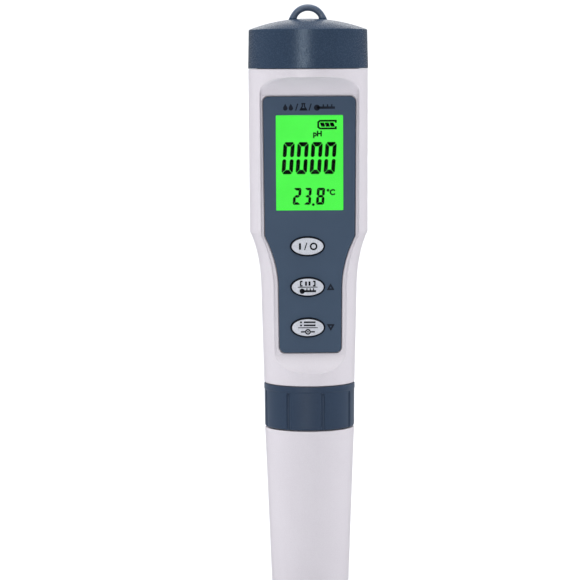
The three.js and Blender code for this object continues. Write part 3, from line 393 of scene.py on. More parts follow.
def housing_skin():
    """The outer skin with its recess, as one closed solid. Its columns follow the recess's edge."""
    edge = 0.3
    bends = [edge * (1 - math.cos(a)) for a in np.linspace(0, math.pi / 2, 5)]
    zs = np.concatenate(
        [
            [BODY_LOW_Z + b for b in bends],
            np.arange(BODY_LOW_Z + 0.8, SCOOP_LOW_Z - 1.0, 0.6),
            np.arange(SCOOP_LOW_Z - 1.0, FACE_LOW_Z + 0.8, 0.12),
            np.arange(FACE_LOW_Z + 1, GRIP_TOP_Z - 2, 1.0),
            np.arange(GRIP_TOP_Z - 2, SHOULDER_TOP_Z + 1, 0.35),
            np.arange(SHOULDER_TOP_Z + 1, FACE_TOP_Z - 0.8, 1.2),
            np.arange(FACE_TOP_Z - 0.8, SCOOP_TOP_Z + 0.9, 0.12),
            np.arange(SCOOP_TOP_Z + 1.1, BODY_TOP_Z - 0.5, 0.4),
            [BODY_TOP_Z - b for b in reversed(bends)],
        ]
    )
    rows = []
    radius_at, half_at = body_line(), recess_line()
    floor = face_y(zs)
    for z, floor_y in zip(zs, floor):
        r = float(np.interp(z, *radius_at))
        half = float(np.interp(z, *half_at))
        from_end = min(z - BODY_LOW_Z, BODY_TOP_Z - z)
        if from_end < edge:
            r -= edge - math.sqrt(max(edge**2 - (edge - from_end) ** 2, 0))
        ramp = 0.75
        x = np.concatenate(
            [
                np.linspace(0, half - ramp - 0.3, 22, endpoint=False),
                np.linspace(half - ramp - 0.3, half + 0.3, 14),
            ]
        )
        outer = -np.sqrt(r * r - x * x)
        inner = soft_max(outer, np.full_like(x, floor_y), 0.7 if z > GRIP_TOP_Z else 0.25)
        if z < GRIP_TOP_Z:
            # a fine raised bead along the lower scoop's edge
            inner -= 0.16 * np.exp(-(((outer - floor_y) / 0.45) ** 2))
        wall = smoothstep(half - ramp, half, x)
        y = inner + (outer - inner) * wall
        turn = np.linspace(math.asin((half + 0.3) / r), math.pi, 72)[1:]
        right = np.column_stack(
            [np.concatenate([x, r * np.sin(turn)]), np.concatenate([y, -r * np.cos(turn)])]
        )
        left = right[-2:0:-1] * [-1, 1]
        ring = np.concatenate([right, left])
        rows.append(np.column_stack([ring, np.full(len(ring), z)]))
    return loft("main_housing_shell", rows)


def housing():
    shell = housing_skin()
    neck_z = NECK_TOP_Z
    join(
        shell,
        lathe(
            "neck",
            [(0, BODY_TOP_Z - 1), (NECK_R, BODY_TOP_Z - 1), (NECK_R, BODY_TOP_Z + 0.5, 0.1),
             (NECK_R - 0.4, BODY_TOP_Z + 0.5, 0.1), (NECK_R - 0.4, BODY_TOP_Z + 1.9, 0.1),
             (NECK_R, BODY_TOP_Z + 1.9, 0.1), (NECK_R, neck_z, 0.35), (0, neck_z)],
        ),
        lathe(
            "spigot",
            [(0, SPIGOT_LOW_Z), (SPIGOT_R, SPIGOT_LOW_Z, 0.3), (SPIGOT_R, BODY_LOW_Z + 1),
             (0, BODY_LOW_Z + 1)],
        ),
        ridge("neck_thread", NECK_R, NECK_THREAD_Z, MALE_TURNS, 0),
        ridge("spigot_thread", SPIGOT_R, SPIGOT_THREAD_Z, MALE_TURNS, 0),
    )
    z, r = body_line()
    inside = [(ri - HOUSING_WALL, zi) for zi, ri in zip(z, r) if GRIP_TOP_Z - 2 < zi < BODY_TOP_Z]
    shaft = lathe(
        "shaft",
        [(0, BODY_LOW_Z + 3.1), (GRIP_LOW_R - HOUSING_WALL, BODY_LOW_Z + 3.1), *inside,
         (BODY_TOP_R - HOUSING_WALL, BODY_TOP_Z - 2), (0, BODY_TOP_Z - 2)],
    )
    boolean(shaft, "INTERSECT", box("front", -40, 40, FLOOR_BACK_Y, 40, 0, 190))
    lcd_low, lcd_top = (corner[2] for corner in span("lcd_glass"))
    cut(
        shell,
        shaft,
        lathe(
            "neck_bore",
            [(0, BODY_TOP_Z - 2.1), (NECK_BORE_R, BODY_TOP_Z - 2.1), (NECK_BORE_R, neck_z - 0.25),
             (NECK_BORE_R + 0.3, neck_z + 0.05), (NECK_BORE_R + 0.3, 200), (0, 200)],
        ),
        lathe(
            "plug_bore",
            [(0, 40), (SPIGOT_BORE_R + 0.25, 40), (SPIGOT_BORE_R + 0.25, SPIGOT_LOW_Z),
             (SPIGOT_BORE_R, SPIGOT_LOW_Z + 0.3), (SPIGOT_BORE_R, BODY_LOW_Z + 1.6), (0, BODY_LOW_Z + 1.6)],
        ),
        lathe("nose_hole", [(0, 50), (6.3, 50), (6.3, BODY_LOW_Z + 4), (0, BODY_LOW_Z + 4)]),
        prism(
            "pocket",
            panel_outline,
            [(AHEAD_Y, 0.62), (-FACE_Y - 0.25, 0.62), (-FACE_Y + 0.12, 0.25), (POCKET_Y, 0.25)],
        ),
        prism("lcd_hole", rounded_rect(0, (lcd_low + lcd_top) / 2, 23.2, lcd_top - lcd_low + 0.6, 0.3),
              [(AHEAD_Y, 0), (0, 0)]),
    )
    for x, z in KEYS.values():
        hole = ellipse(x, z, KEY_HALF[0] + 1.2, KEY_HALF[1] + 1.2)
        cut(shell, prism("key_hole", hole, [(AHEAD_Y, 0), (-2, 0)]))
    for side in (-1, 1):
        x = [side * (NECK_BORE_R - 0.7), side * (NECK_BORE_R + 0.6)]
        join(shell, box("rib", min(x), max(x), -0.8, 0.8, BODY_TOP_Z - 2, neck_z - 0.4))
    return shell


# ---- front: bezel, window, display, keys
def edge_stations(front_y, back_y, radius, steps=5):
    """Stations of a plug whose front edge is rounded."""
    arc = [
        (front_y + radius * (1 - math.sin(a)), -radius * (1 - math.cos(a)))
        for a in np.linspace(math.pi / 2, 0, steps + 1)
    ]
    return [*arc, (back_y, 0)]


def flared(name, outline, front_y, flare):
    """A tool that cuts a straight hole with a small chamfer at its front."""
    return prism(
        name, outline, [(AHEAD_Y, flare + 0.1), (front_y - 0.1, flare + 0.1), (front_y + flare, 0), (0, 0)]
    )


def bezel():
    panel = prism("bezel_panel", panel_outline, edge_stations(PANEL_FRONT_Y, PANEL_BACK_Y, 0.28))
    screen = rounded_rect(SCREEN_X, SCREEN_Z, SCREEN_W, SCREEN_H, 0.3)
    cut(panel, flared("screen", screen, PANEL_FRONT_Y, 0.1))
    for x, z in KEYS.values():
        cut(panel, flared("key", ellipse(x, z, KEY_HALF[0] + 0.3, KEY_HALF[1] + 0.3), PANEL_FRONT_Y, 0.1))
    return panel


def key_cap(name):
    x, z = KEYS[name]
    flange_y = PANEL_BACK_Y + 0.1
    dome = []
    for share in np.linspace(0, 1, 9):
        # a soft pillow: nearly flat in the middle, rolling over into its side
        a = share * math.pi / 2
        dome.append((KEY_FACE_Y + 0.55 * (1 - math.cos(a)), -0.75 * (1 - math.sin(a))))
    stations = [*dome, (flange_y, 0), (flange_y, 0.9), (flange_y + 0.8, 0.9)]
    head = prism(f"{name}_key", ellipse(x, z, *KEY_HALF), stations)
    back_y = span(f"{name}_button")[1][1]
    stem = prism("stem", ellipse(x, z, 1.5, 1.5, 40), [(flange_y + 0.5, 0), (back_y, 0)])
    return join(head, stem)


def second_look(obj, look, chosen):
    """Gives a piece a second material on the faces that chosen(face) picks."""
    obj.data.materials.append(LOOKS[look].material)
    for face in obj.data.polygons:
        if chosen(face):
            face.material_index = 1


def on_eye(face):
    """The cap's lanyard eye, which gets a lighter copy of the cap's slate as a painted highlight."""
    return face.center.z > (DOME_TOP_Z + 0.15) * MM


def on_skirt(face):
    """All of a key but its light face: the sides, made dark as painted shade so the gap round the key reads
    as a shadow line.
    """
    return face.normal.y > -0.75 or face.center.y > (KEY_FACE_Y + 0.6) * MM


# ---- printing: thin flat marks on the front
def stroke(points, width, closed=False):
    """A line of that width through the points, as one or more outlines."""
    p = np.asarray(points, float)
    n = len(p)
    left, right = [], []
    for i in range(n):
        last = p[i - 1] if (closed or i) else p[i] - (p[1] - p[0])
        after = p[(i + 1) % n] if (closed or i < n - 1) else p[i] + (p[i] - p[i - 1])
        a, b = (p[i] - last), (after - p[i])
        a, b = a / np.linalg.norm(a), b / np.linalg.norm(b)
        normal = np.array([-(a + b)[1], (a + b)[0]])
        normal /= np.linalg.norm(normal)
        reach = width / 2 / max(0.35, float(normal @ np.array([-a[1], a[0]])))
        left.append(p[i] + normal * reach)
        right.append(p[i] - normal * reach)
    if not closed:
        return [np.array(left + right[::-1])]
    return [np.array([left[i - 1], left[i], right[i], right[i - 1]]) for i in range(n)]


def arc(x, z, r, start, end, n=32):
    a = np.radians(np.linspace(start, end, n))
    return np.column_stack([x + r * np.cos(a), z + r * np.sin(a)])


def full(x, z, r, n=36):
    return arc(x, z, r, 0, 360 * (1 - 1 / n), n)


def inset(points, d):
    """A convex outline moved inwards by d."""
    p = np.asarray(points, float)
    area = sum(a[0] * b[1] - b[0] * a[1] for a, b in zip(p, np.roll(p, -1, 0)))
    p = p if area > 0 else p[::-1]
    lines = []
    for a, b in zip(p, np.roll(p, -1, 0)):
        t = (b - a) / np.linalg.norm(b - a)
        lines.append((a + d * np.array([-t[1], t[0]]), t))
    out = []
    for (a, t), (b, s) in zip(lines[-1:] + lines[:-1], lines):
        k = np.linalg.solve(np.column_stack([t, -s]), b - a)
        out.append(a + k[0] * t)
    return np.array(out)


def decal(name, shapes, y, thick=PRINT_T):
    """Flat outlines in X and Z as thin plates whose backs lie on the surface at y."""
    verts, faces = [], []
    for shape in shapes:
        n, base = len(shape), len(verts)
        verts += [(x, y - thick, z) for x, z in shape] + [(x, y + thick, z) for x, z in shape]
        faces.append(tuple(range(base, base + n)))
        faces.append(tuple(range(base + n, base + 2 * n))[::-1])
        faces += [(base + i, base + n + i, base + n + (i + 1) % n, base + (i + 1) % n) for i in range(n)]
    return face_outwards(new_object(name, verts, faces), merge=False)


SEGMENTS = {"0": "abcdef", "2": "abged", "3": "abgcd", "8": "abcdefg"}


def digit(char, x, z, w, h, bar, cap_bar, slant, gap):
    """A seven-segment digit with its lower left corner at (x, z), as bevelled bars with thin gaps."""
    c, m = cap_bar * 0.4, h / 2
    low = {
        "d": [(c, 0), (w - c, 0), (w - c / 2, c * 0.7), (w - bar, cap_bar), (bar, cap_bar), (c / 2, c * 0.7)],
        "e": [(0, c * 1.4), (c / 2, c * 0.7), (bar, cap_bar), (bar, m - bar * 0.6),
              (bar * 0.75, m - bar * 0.22), (bar * 0.25, m - bar * 0.22), (0, m - bar * 0.6)],
    }
    low["c"] = [(w - a, b) for a, b in low["e"]]
    cells = {**low, **{up: [(a, h - b) for a, b in low[down]] for up, down in ("ad", "fe", "bc")}}
    half = cap_bar / 2
    cells["g"] = [(bar * 0.4, m), (bar, m + half), (w - bar, m + half), (w - bar * 0.4, m),
                  (w - bar, m - half), (bar, m - half)]
    shapes = []
    for key in SEGMENTS[char]:
        shape = inset(cells[key], gap / 2)
        shape[:, 0] += x + slant * (shape[:, 1] / h)
        shape[:, 1] += z
        shapes.append(shape)
    return shapes


def unit_mark(name, text, x, z, height, y):
    """A unit mark in the plain built-in face, as a mesh laid on the display at y."""
    curve = bpy.data.curves.new("unit", "FONT")
    curve.body = text
    curve.size = height * MM / 0.7
    curve.extrude = PRINT_T * MM
    curve.offset = 0.11 * MM
    curve.resolution_u = 6
    obj = add("unit", curve)
    obj.matrix_world = Matrix.Translation((x * MM, 0, z * MM)) @ Matrix.Rotation(math.pi / 2, 4, "X")
    obj.location.y = y * MM
    mesh = evaluated(obj)
    mesh.transform(obj.matrix_world)
    made = add(name, mesh)
    bpy.data.objects.remove(obj)
    bpy.data.curves.remove(curve)
    return made


def thermometer(x, z, length, line):
    """A thermometer lying down: bulb on the left, a hollow stem and three ticks."""
    left, right = x - length / 2, x + length / 2
    bulb = line * 1.9
    shapes = [full(left + bulb, z, bulb), *stroke([(left + bulb, z), (right, z)], line * 1.5)]
    for share in (0.45, 0.65, 0.85):
        tick = left + length * share
        shapes += stroke([(tick, z + line * 0.5), (tick, z + line * 2.1)], line * 0.8)
    return shapes


def droplet(x, z, h):
    r = h * 0.33
    shoulder = [(x + r * 0.9, z - h / 2 + r * 1.45), (x, z + h / 2), (x - r * 0.9, z - h / 2 + r * 1.45)]
    return [np.vstack([arc(x, z - h / 2 + r, r, 206, 360, 24), shoulder])]


def flask(x, z, h, line):
    w = h * 0.46
    body = [(x - w * 0.34, z + h / 2), (x - w * 0.34, z + h * 0.1), (x - w, z - h / 2 + line / 2),
            (x + w, z - h / 2 + line / 2), (x + w * 0.34, z + h * 0.1), (x + w * 0.34, z + h / 2)]
    fill = [(x - w * 0.62, z - h * 0.14), (x + w * 0.62, z - h * 0.14), (x + w * 0.9, z - h * 0.45),
            (x - w * 0.9, z - h * 0.45)]
    rim = stroke([(x - w * 0.62, z + h / 2), (x + w * 0.62, z + h / 2)], line)
    return [*stroke(body, line), *rim, np.array(fill)]


def slash(x, z, h, line):
    return stroke([(x - h * 0.16, z - h / 2), (x + h * 0.16, z + h / 2)], line)


def triangle(x, z, half, up, line):
    s = 1 if up else -1
    points = [(x - half, z - s * half * 0.8), (x + half, z - s * half * 0.8), (x, z + s * half * 0.95)]
    return stroke(points, line, closed=True)


def key_marks(name):
    x, z = KEYS[name]
    if name == "power":
        # a bar, a stroke and a ring: the international marks for on and off
        return [
            *stroke([(x - 2.4, z - 1.0), (x - 2.4, z + 1.0)], 0.66),
            *slash(x - 0.6, z, 2.3, 0.32),
            *stroke(full(x + 1.9, z, 0.95), 0.52, closed=True),
        ]
    rule = stroke([(x - 3.1, z), (x + 3.1, z)], 0.26)
    if name == "hold":
        # pause bars between brackets over a thermometer
        low, high = z + 1.12 - 0.68, z + 1.12 + 0.68
        pause = []
        for a in (x - 0.55, x + 0.55):
            pause += stroke([(a, low), (a, high)], 0.6)
        for side in (-1, 1):
            a = x + side * 2.25
            hook = a - side * 0.6
            points = [(hook, low), (a, low), (a, high), (hook, high)]
            pause += stroke(points, 0.44)
        return rule + pause + thermometer(x, z - 1.28, 5.2, 0.44)
    # a list over a target
    rows = []
    for k in range(2):
        height = z + 0.75 + 0.98 * k
        rows += stroke([(x - 1.3, height), (x + 2.4, height)], 0.52)
        rows += stroke([(x - 2.5, height), (x - 1.85, height)], 0.52)
    target = [*stroke(full(x, z - 1.3, 0.7), 0.4, closed=True), full(x, z - 1.3, 0.26, 16)]
    for side in (-1, 1):
        target += stroke([(x + side * 0.9, z - 1.3), (x + side * 2.2, z - 1.3)], 0.44)
    return rule + rows + target


def panel_marks():
    z = PANEL_TOP_Z - 3.35
    h = 2.15
    marks = [
        *droplet(-7.6, z, h),
        *droplet(-5.85, z, h),
        *slash(-4.0, z, h, 0.36),
        *flask(-1.9, z, h, 0.4),
        *slash(0.2, z, h, 0.36),
        *thermometer(4.7, z - 0.2, 6.6, 0.5),
    ]
    hold_z, mode_z = KEYS["hold"][1], KEYS["mode"][1]
    marks += triangle(6.45, hold_z - 0.15, 0.8, True, 0.5)
    marks += triangle(6.45, mode_z + 0.1, 0.8, False, 0.5)
    return marks


def display_marks():
    left, top = SCREEN_X - SCREEN_W / 2, SCREEN_Z + SCREEN_H / 2
    shapes = []
    for k in range(4):
        shapes += digit("0", left + 1.7 + 4.41 * k, top - 18.6, 3.65, 10.2, 1.32, 1.5, 0.75, 0.12)
    for char, start, width in (("2", 5.2, 2.5), ("3", 8.7, 2.25), ("8", 12.55, 2.6)):
        shapes += digit(char, left + start, top - 28.2, width, 5.35, 0.9, 0.84, 0.4, 0.05)
    shapes.append(full(left + 11.75, top - 28.15, 0.42, 16))
    # battery sign: a frame open at its right end, with three slanted bars
    x, z = left + 13.2, top - 3.0
    right = x + 5.75
    case = [(right, z + 0.55), (right, z + 1.2), (x + 0.75, z + 1.2), (x + 0.2, z + 0.75),
            (x + 0.2, z - 0.75), (x + 0.75, z - 1.2), (right, z - 1.2), (right, z - 0.55)]
    shapes += stroke(case, 0.56)
    for k in range(3):
        a = x + 0.72 + 1.5 * k
        bar = [(a, z + 0.66), (a + 1.26, z + 0.66), (a + 1.72, z - 0.66), (a + 0.46, z - 0.66)]
        shapes.append(np.array(bar))
    return shapes


# ---- cap, collar, sheath
DOME_R = (CAP_TOP_R**2 + (DOME_TOP_Z - DOME_EDGE_Z) ** 2) / (2 * (DOME_TOP_Z - DOME_EDGE_Z))


def dome_z(r):
    return DOME_TOP_Z - DOME_R + math.sqrt(DOME_R**2 - r**2)


def cap():
    rim_z = BODY_TOP_Z + 0.1
    shares = np.linspace(0.985, 0.06, 18)
    dome = [(s * CAP_TOP_R, dome_z(s * CAP_TOP_R)) for s in shares]
    hollow = CAP_BORE_R - 1.2
    roof = [(s * hollow, dome_z(s * hollow) - 1.6) for s in (0.95, 0.8, 0.6, 0.4, 0.2)]
    body = lathe(
        "battery_cap_shell",
        [(0, DOME_TOP_Z - 1.6), *reversed(roof), (hollow, NECK_TOP_Z + 0.6, 0.4),
         (CAP_BORE_R, NECK_TOP_Z + 0.5, 0.3), (CAP_BORE_R, rim_z, 0.2), (CAP_R, rim_z, 0.3),
         (CAP_TOP_R, DOME_EDGE_Z - 0.05, 0.22), *dome, (0, DOME_TOP_Z)],
        sides=192,
    )
    boss = lathe(
        "boss",
        [(0, CARRIER_TOP_Z + 4.2), (1.65, CARRIER_TOP_Z + 4.2), (1.65, CARRIER_TOP_Z + GAP),
         (3, CARRIER_TOP_Z + GAP, 0.2), (3, DOME_TOP_Z - 1), (0, DOME_TOP_Z - 1)],
        sides=48,
    )
    thread = ridge("cap_thread", CAP_BORE_R, NECK_THREAD_Z + 0.1 * LEAD, FEMALE_TURNS, 0.6)
    a = np.pi * np.linspace(-0.03, 1.03, 49)
    base = DOME_TOP_Z - 1.1
    path = np.column_stack([4.8 * np.cos(a), np.zeros(len(a)), base + (EYE_TOP_Z - 1.05 - base) * np.sin(a)])
    flare = smoothstep(DOME_TOP_Z + 1.3, DOME_TOP_Z - 0.9, path[:, 2])
    eye = sweep("eye", path, 1.05 + 0.3 * flare, sides=28)
    return join(body, boss, thread, eye)


def collar():
    low, top = COLLAR_LOW_Z, COLLAR_TOP_Z
    r_low, lip = COLLAR_R - 0.12, PROBE_R + 0.35
    ring = lathe(
        "clamp_collar",
        [(r_low - 0.1, low, 0.6), (COLLAR_R - 0.14, top - 1.9, 0.2), (COLLAR_R, top - 1.6, 0.2),
         (COLLAR_R, top, 0.25), (COLLAR_BORE_R, top, 0.25), (COLLAR_BORE_R, low + 3.4, 0.2),
         (lip, low + 3.4, 0.2), (lip, low, 0.25)],
        sides=192,
    )
    grooves = []
    for i in range(8):
        a = i * math.pi / 4 + math.radians(15)
        r = COLLAR_R + 0.02
        z = np.array([top - 1.95, top - 2.15, top - 2.5, top - 3.2, low - 1])
        path = np.column_stack([np.full(len(z), r * math.sin(a)), np.full(len(z), -r * math.cos(a)), z])
        grooves.append(sweep("groove", path, [0.2, 0.5, 0.66, 0.72, 0.72], sides=32))
    cut(ring, *grooves)
    return join(ring, ridge("collar_thread", COLLAR_BORE_R, SPIGOT_THREAD_Z + LEAD / 2, FEMALE_TURNS, 0))


def sheath():
    low_r = SHEATH_TOP_R - SHEATH_DRAFT
    wall, floor, top = 1.3, 1.6, SHEATH_TOP_Z

    def bore(z):
        return low_r + SHEATH_DRAFT * z / top - wall

    return lathe(
        "sheath_cup",
        [(0, 0), (low_r, 0, 0.85), (SHEATH_TOP_R, top, 0.28), (bore(top), top, 0.28),
         (bore(floor), floor, 0.8), (0, floor)],
        sides=192,
    )


# ---- probe
PLUG_TOP_Z = BODY_LOW_Z + 1.6 - 2.2
FLANGE_LOW_Z = COLLAR_LOW_Z + 3.6
PLATE_LOW_Z = span("sensor_plate")[0][2]
GUARD_LOW_Z = span("probe_body")[0][2]
BULB_Z = PLATE_LOW_Z - 6.8


def probe_shell():
    seal_z = SPIGOT_LOW_Z + 3
    body = lathe(
        "probe_tube",
        [(PROBE_R - 1.8, GUARD_LOW_Z, 0.25), (PROBE_R - 0.1, GUARD_LOW_Z, 0.55),
         (PROBE_R, GUARD_LOW_Z + 16, 2), (PROBE_R, FLANGE_LOW_Z, 0.2),
         (SPIGOT_R + 0.2, FLANGE_LOW_Z, 0.3), (SPIGOT_R + 0.2, SPIGOT_LOW_Z - 0.5, 0.3),
         (PLUG_R, SPIGOT_LOW_Z - 0.5, 0.1), (PLUG_R, seal_z - 0.9, 0.15), (PLUG_R - 1.05, seal_z - 0.9, 0.15),
         (PLUG_R - 1.05, seal_z + 0.9, 0.15), (PLUG_R, seal_z + 0.9, 0.15), (PLUG_R, PLUG_TOP_Z, 0.45),
         (PROBE_BORE_R, PLUG_TOP_Z, 0.2), (PROBE_BORE_R, PLATE_LOW_Z - 1), (PROBE_R - 1.8, PLATE_LOW_Z, 0.3)],
        sides=160,
    )
    height = PLATE_LOW_Z - 3 - GUARD_LOW_Z
    slot = rounded_rect(0, GUARD_LOW_Z + height / 2 - 4, 8, height + 8, 2.2, 10)
    for turn in (0, 90):
        tool = prism("slot", slot, [(-20, 0), (20, 0)])
        tool.data.transform(Matrix.Rotation(math.radians(turn), 4, "Z"))
        cut(body, tool)
    bevel(body, 0.16, 3, 50)
    return bake(body)


def bulb():
    def ball(r, start, end, n):
        a = np.linspace(start, end, n)
        return [(abs(r * math.sin(b)), BULB_Z - r * math.cos(b)) for b in a]

    outer_end = math.pi - math.asin(STEM_R / BULB_R)
    inner_end = math.pi - math.asin((STEM_R - GLASS_T) / (BULB_R - GLASS_T))
    outer = [(0, BULB_Z - BULB_R), *ball(BULB_R, 0.08, outer_end - 0.12, 22)]
    inner = [*reversed(ball(BULB_R - GLASS_T, 0.08, inner_end - 0.12, 22)), (0, BULB_Z - BULB_R + GLASS_T)]
    neck_z = BULB_Z - BULB_R * math.cos(outer_end)
    top = span("glass_electrode")[1][2]
    return lathe(
        "glass_bulb",
        [*outer, (STEM_R, neck_z + 0.3, 0.8), (STEM_R, top, 0.15), (STEM_R - GLASS_T, top, 0.15),
         (STEM_R - GLASS_T, neck_z + 0.3, 0.8), *inner],
        sides=72,
    )


def tipped(name, node, r):
    low, high = (corner[2] for corner in span(node))
    x, y, _ = middle(node)
    tip = [(r * math.sin(b), low + r * (1 - math.cos(b))) for b in np.linspace(0, math.pi / 2, 9)]
    return lathe(name, [(0, low), *tip[1:], (r, high, 0.1), (0, high)], sides=40, x=x, y=y)


def contact_pin(i):
    low, high = (corner[2] for corner in span(f"contact_pin_{i}"))
    x, y, _ = middle(f"contact_pin_{i}")
    return lathe(
        f"gold_pin_{i}",
        [(0, low), (0.5, low, 0.08), (0.5, high - 0.45, 0.3), (0.22, high, 0.15), (0, high)],
        sides=28, x=x, y=y,
    )


# ---- battery bay
def cell(name, node, up):
    low, high = (corner[2] for corner in span(node))
    x, y, _ = middle(node)
    r, nub_r, nub_h = CELL_R, 1.9, 0.8
    flip = (lambda z: z) if up else (lambda z: low + high - z)

    def part(suffix, profile):
        line = [(p[0], flip(p[1]), *p[2:]) for p in profile]
        return lathe(f"{name}_{suffix}", line if up else line[::-1], sides=72, x=x, y=y)

    shoulder = high - nub_h
    can = part(
        "can",
        [(0, low), (r - 0.9, low, 0.1), (r - 0.75, low + 0.12, 0.1), (r - 0.12, low + 0.1, 0.25),
         (r - 0.12, shoulder - 0.1, 0.4), (r - 0.9, shoulder - 0.1, 0.1), (r - 1.05, shoulder - 0.3, 0.1),
         (nub_r + 0.5, shoulder - 0.2, 0.1), (nub_r, shoulder, 0.15), (nub_r, high, 0.25), (0, high)],
    )
    jacket = part(
        "jacket",
        [(r - 0.1, low + 0.25, 0.04), (r, low + 0.25, 0.04), (r, shoulder - 0.2, 0.3),
         (r - 0.75, shoulder - 0.02, 0.04), (r - 0.75, shoulder - 0.1, 0.02),
         (r - 0.1, shoulder - 0.3, 0.05)],
    )
    return can, jacket


def coil_path(node, wire, turns, base):
    (x0, _, low), (x1, _, high) = span(node)
    x, y, _ = middle(node)
    r = (x1 - x0) / 2 - wire - (0.4 if base else 0)
    start = low + (0.65 if base else wire)
    return helix(r, start, high - wire - start, turns, 0, 48, x, y)


# ---- materials
def srgb(r, g, b, a=1.0):
    """A colour as it looks on screen, 0 to 255, in the scene's linear values."""
    lin = [c / 255 / 12.92 if c <= 10.3 else ((c / 255 + 0.055) / 1.055) ** 2.4 for c in (r, g, b)]
    return (*lin, a)


class Look:
    """A procedural material: a Principled shader fed by noise on the object's own coordinates.

    Colours are given as they look on screen, 0 to 255.
    """

    def __init__(self, name, color, roughness, **sockets):
        self.material = bpy.data.materials.new(name)
        self.material.use_nodes = True
        self.tree = self.material.node_tree
        self.nodes, self.links = self.tree.nodes, self.tree.links
        self.shader = next(n for n in self.nodes if n.type == "BSDF_PRINCIPLED")
        self.coords = self.node("TexCoord").outputs["Object"]
        self.normal = None
        self.shader.inputs["Base Color"].default_value = srgb(*color)
        self.shader.inputs["Roughness"].default_value = roughness
        for key, value in sockets.items():
            self.shader.inputs[key.replace("_", " ")].default_value = value

    def node(self, kind, **values):
        node = self.nodes.new("ShaderNode" + kind)
        for key, value in values.items():
            node.inputs[key].default_value = value
        return node

    def noise(self, size_mm, detail=3.0, rough=0.55, stretch=None):
        node = self.node("TexNoise", Scale=1 / (size_mm * MM), Detail=detail, Roughness=rough)
        source = self.coords
        if stretch:
            mapping = self.node("Mapping", Scale=stretch)
            self.links.new(source, mapping.inputs["Vector"])
            source = mapping.outputs["Vector"]
        self.links.new(source, node.inputs["Vector"])
        return node.outputs["Fac"]

    def cells(self, size_mm, feature="F1"):
        node = self.node("TexVoronoi", Scale=1 / (size_mm * MM))
        node.feature = feature
        self.links.new(self.coords, node.inputs["Vector"])
        return node.outputs["Distance"]

    def ramp(self, value, *stops):
        node = self.node("ValToRGB")
        line = node.color_ramp.elements
        while len(line) < len(stops):
            line.new(0.5)
        for element, (place, color) in zip(line, stops):
            element.position = place
            element.color = srgb(*color) if isinstance(color, tuple) else (color, color, color, 1)
        self.links.new(value, node.inputs["Fac"])
        return node.outputs["Color"]

    def height(self):
        """The height of each point along Z in the part's frame, in metres."""
        node = self.node("SeparateXYZ")
        self.links.new(self.coords, node.inputs["Vector"])
        return node.outputs["Z"]

    def color(self, output, *stops):
        self.links.new(self.ramp(output, *stops) if stops else output, self.shader.inputs["Base Color"])

    def rough(self, output, *stops):
        self.links.new(self.ramp(output, *stops), self.shader.inputs["Roughness"])

    def bump(self, output, depth_mm, strength=1.0):
        node = self.node("Bump", Distance=depth_mm * MM, Strength=strength)
        self.links.new(output, node.inputs["Height"])
        if self.normal is not None:
            self.links.new(self.normal, node.inputs["Normal"])
        self.normal = node.outputs["Normal"]
        self.links.new(self.normal, self.shader.inputs["Normal"])
        return self


def speckled(name, dark, mid, light, roughness, grain_mm, depth_mm, **sockets):
    """Moulded plastic with a spark-eroded grain: tone, gloss and relief all follow the grain."""
    look = Look(name, mid, roughness, **sockets)
    grain = look.noise(grain_mm, 2.0)
    cloud = look.noise(9.0, 2.0)
    tone = look.nodes.new("ShaderNodeMix")
    tone.data_type = "RGBA"
    look.links.new(look.ramp(cloud, (0.3, 0.35), (0.7, 0.65)), tone.inputs["Factor"])
    look.links.new(look.ramp(grain, (0.35, dark), (0.65, mid)), tone.inputs["A"])
    look.links.new(look.ramp(grain, (0.35, mid), (0.65, light)), tone.inputs["B"])
    look.color(tone.outputs["Result"])
    look.rough(grain, (0.3, roughness - 0.05), (0.7, roughness + 0.07))
    look.bump(grain, depth_mm)
    return look


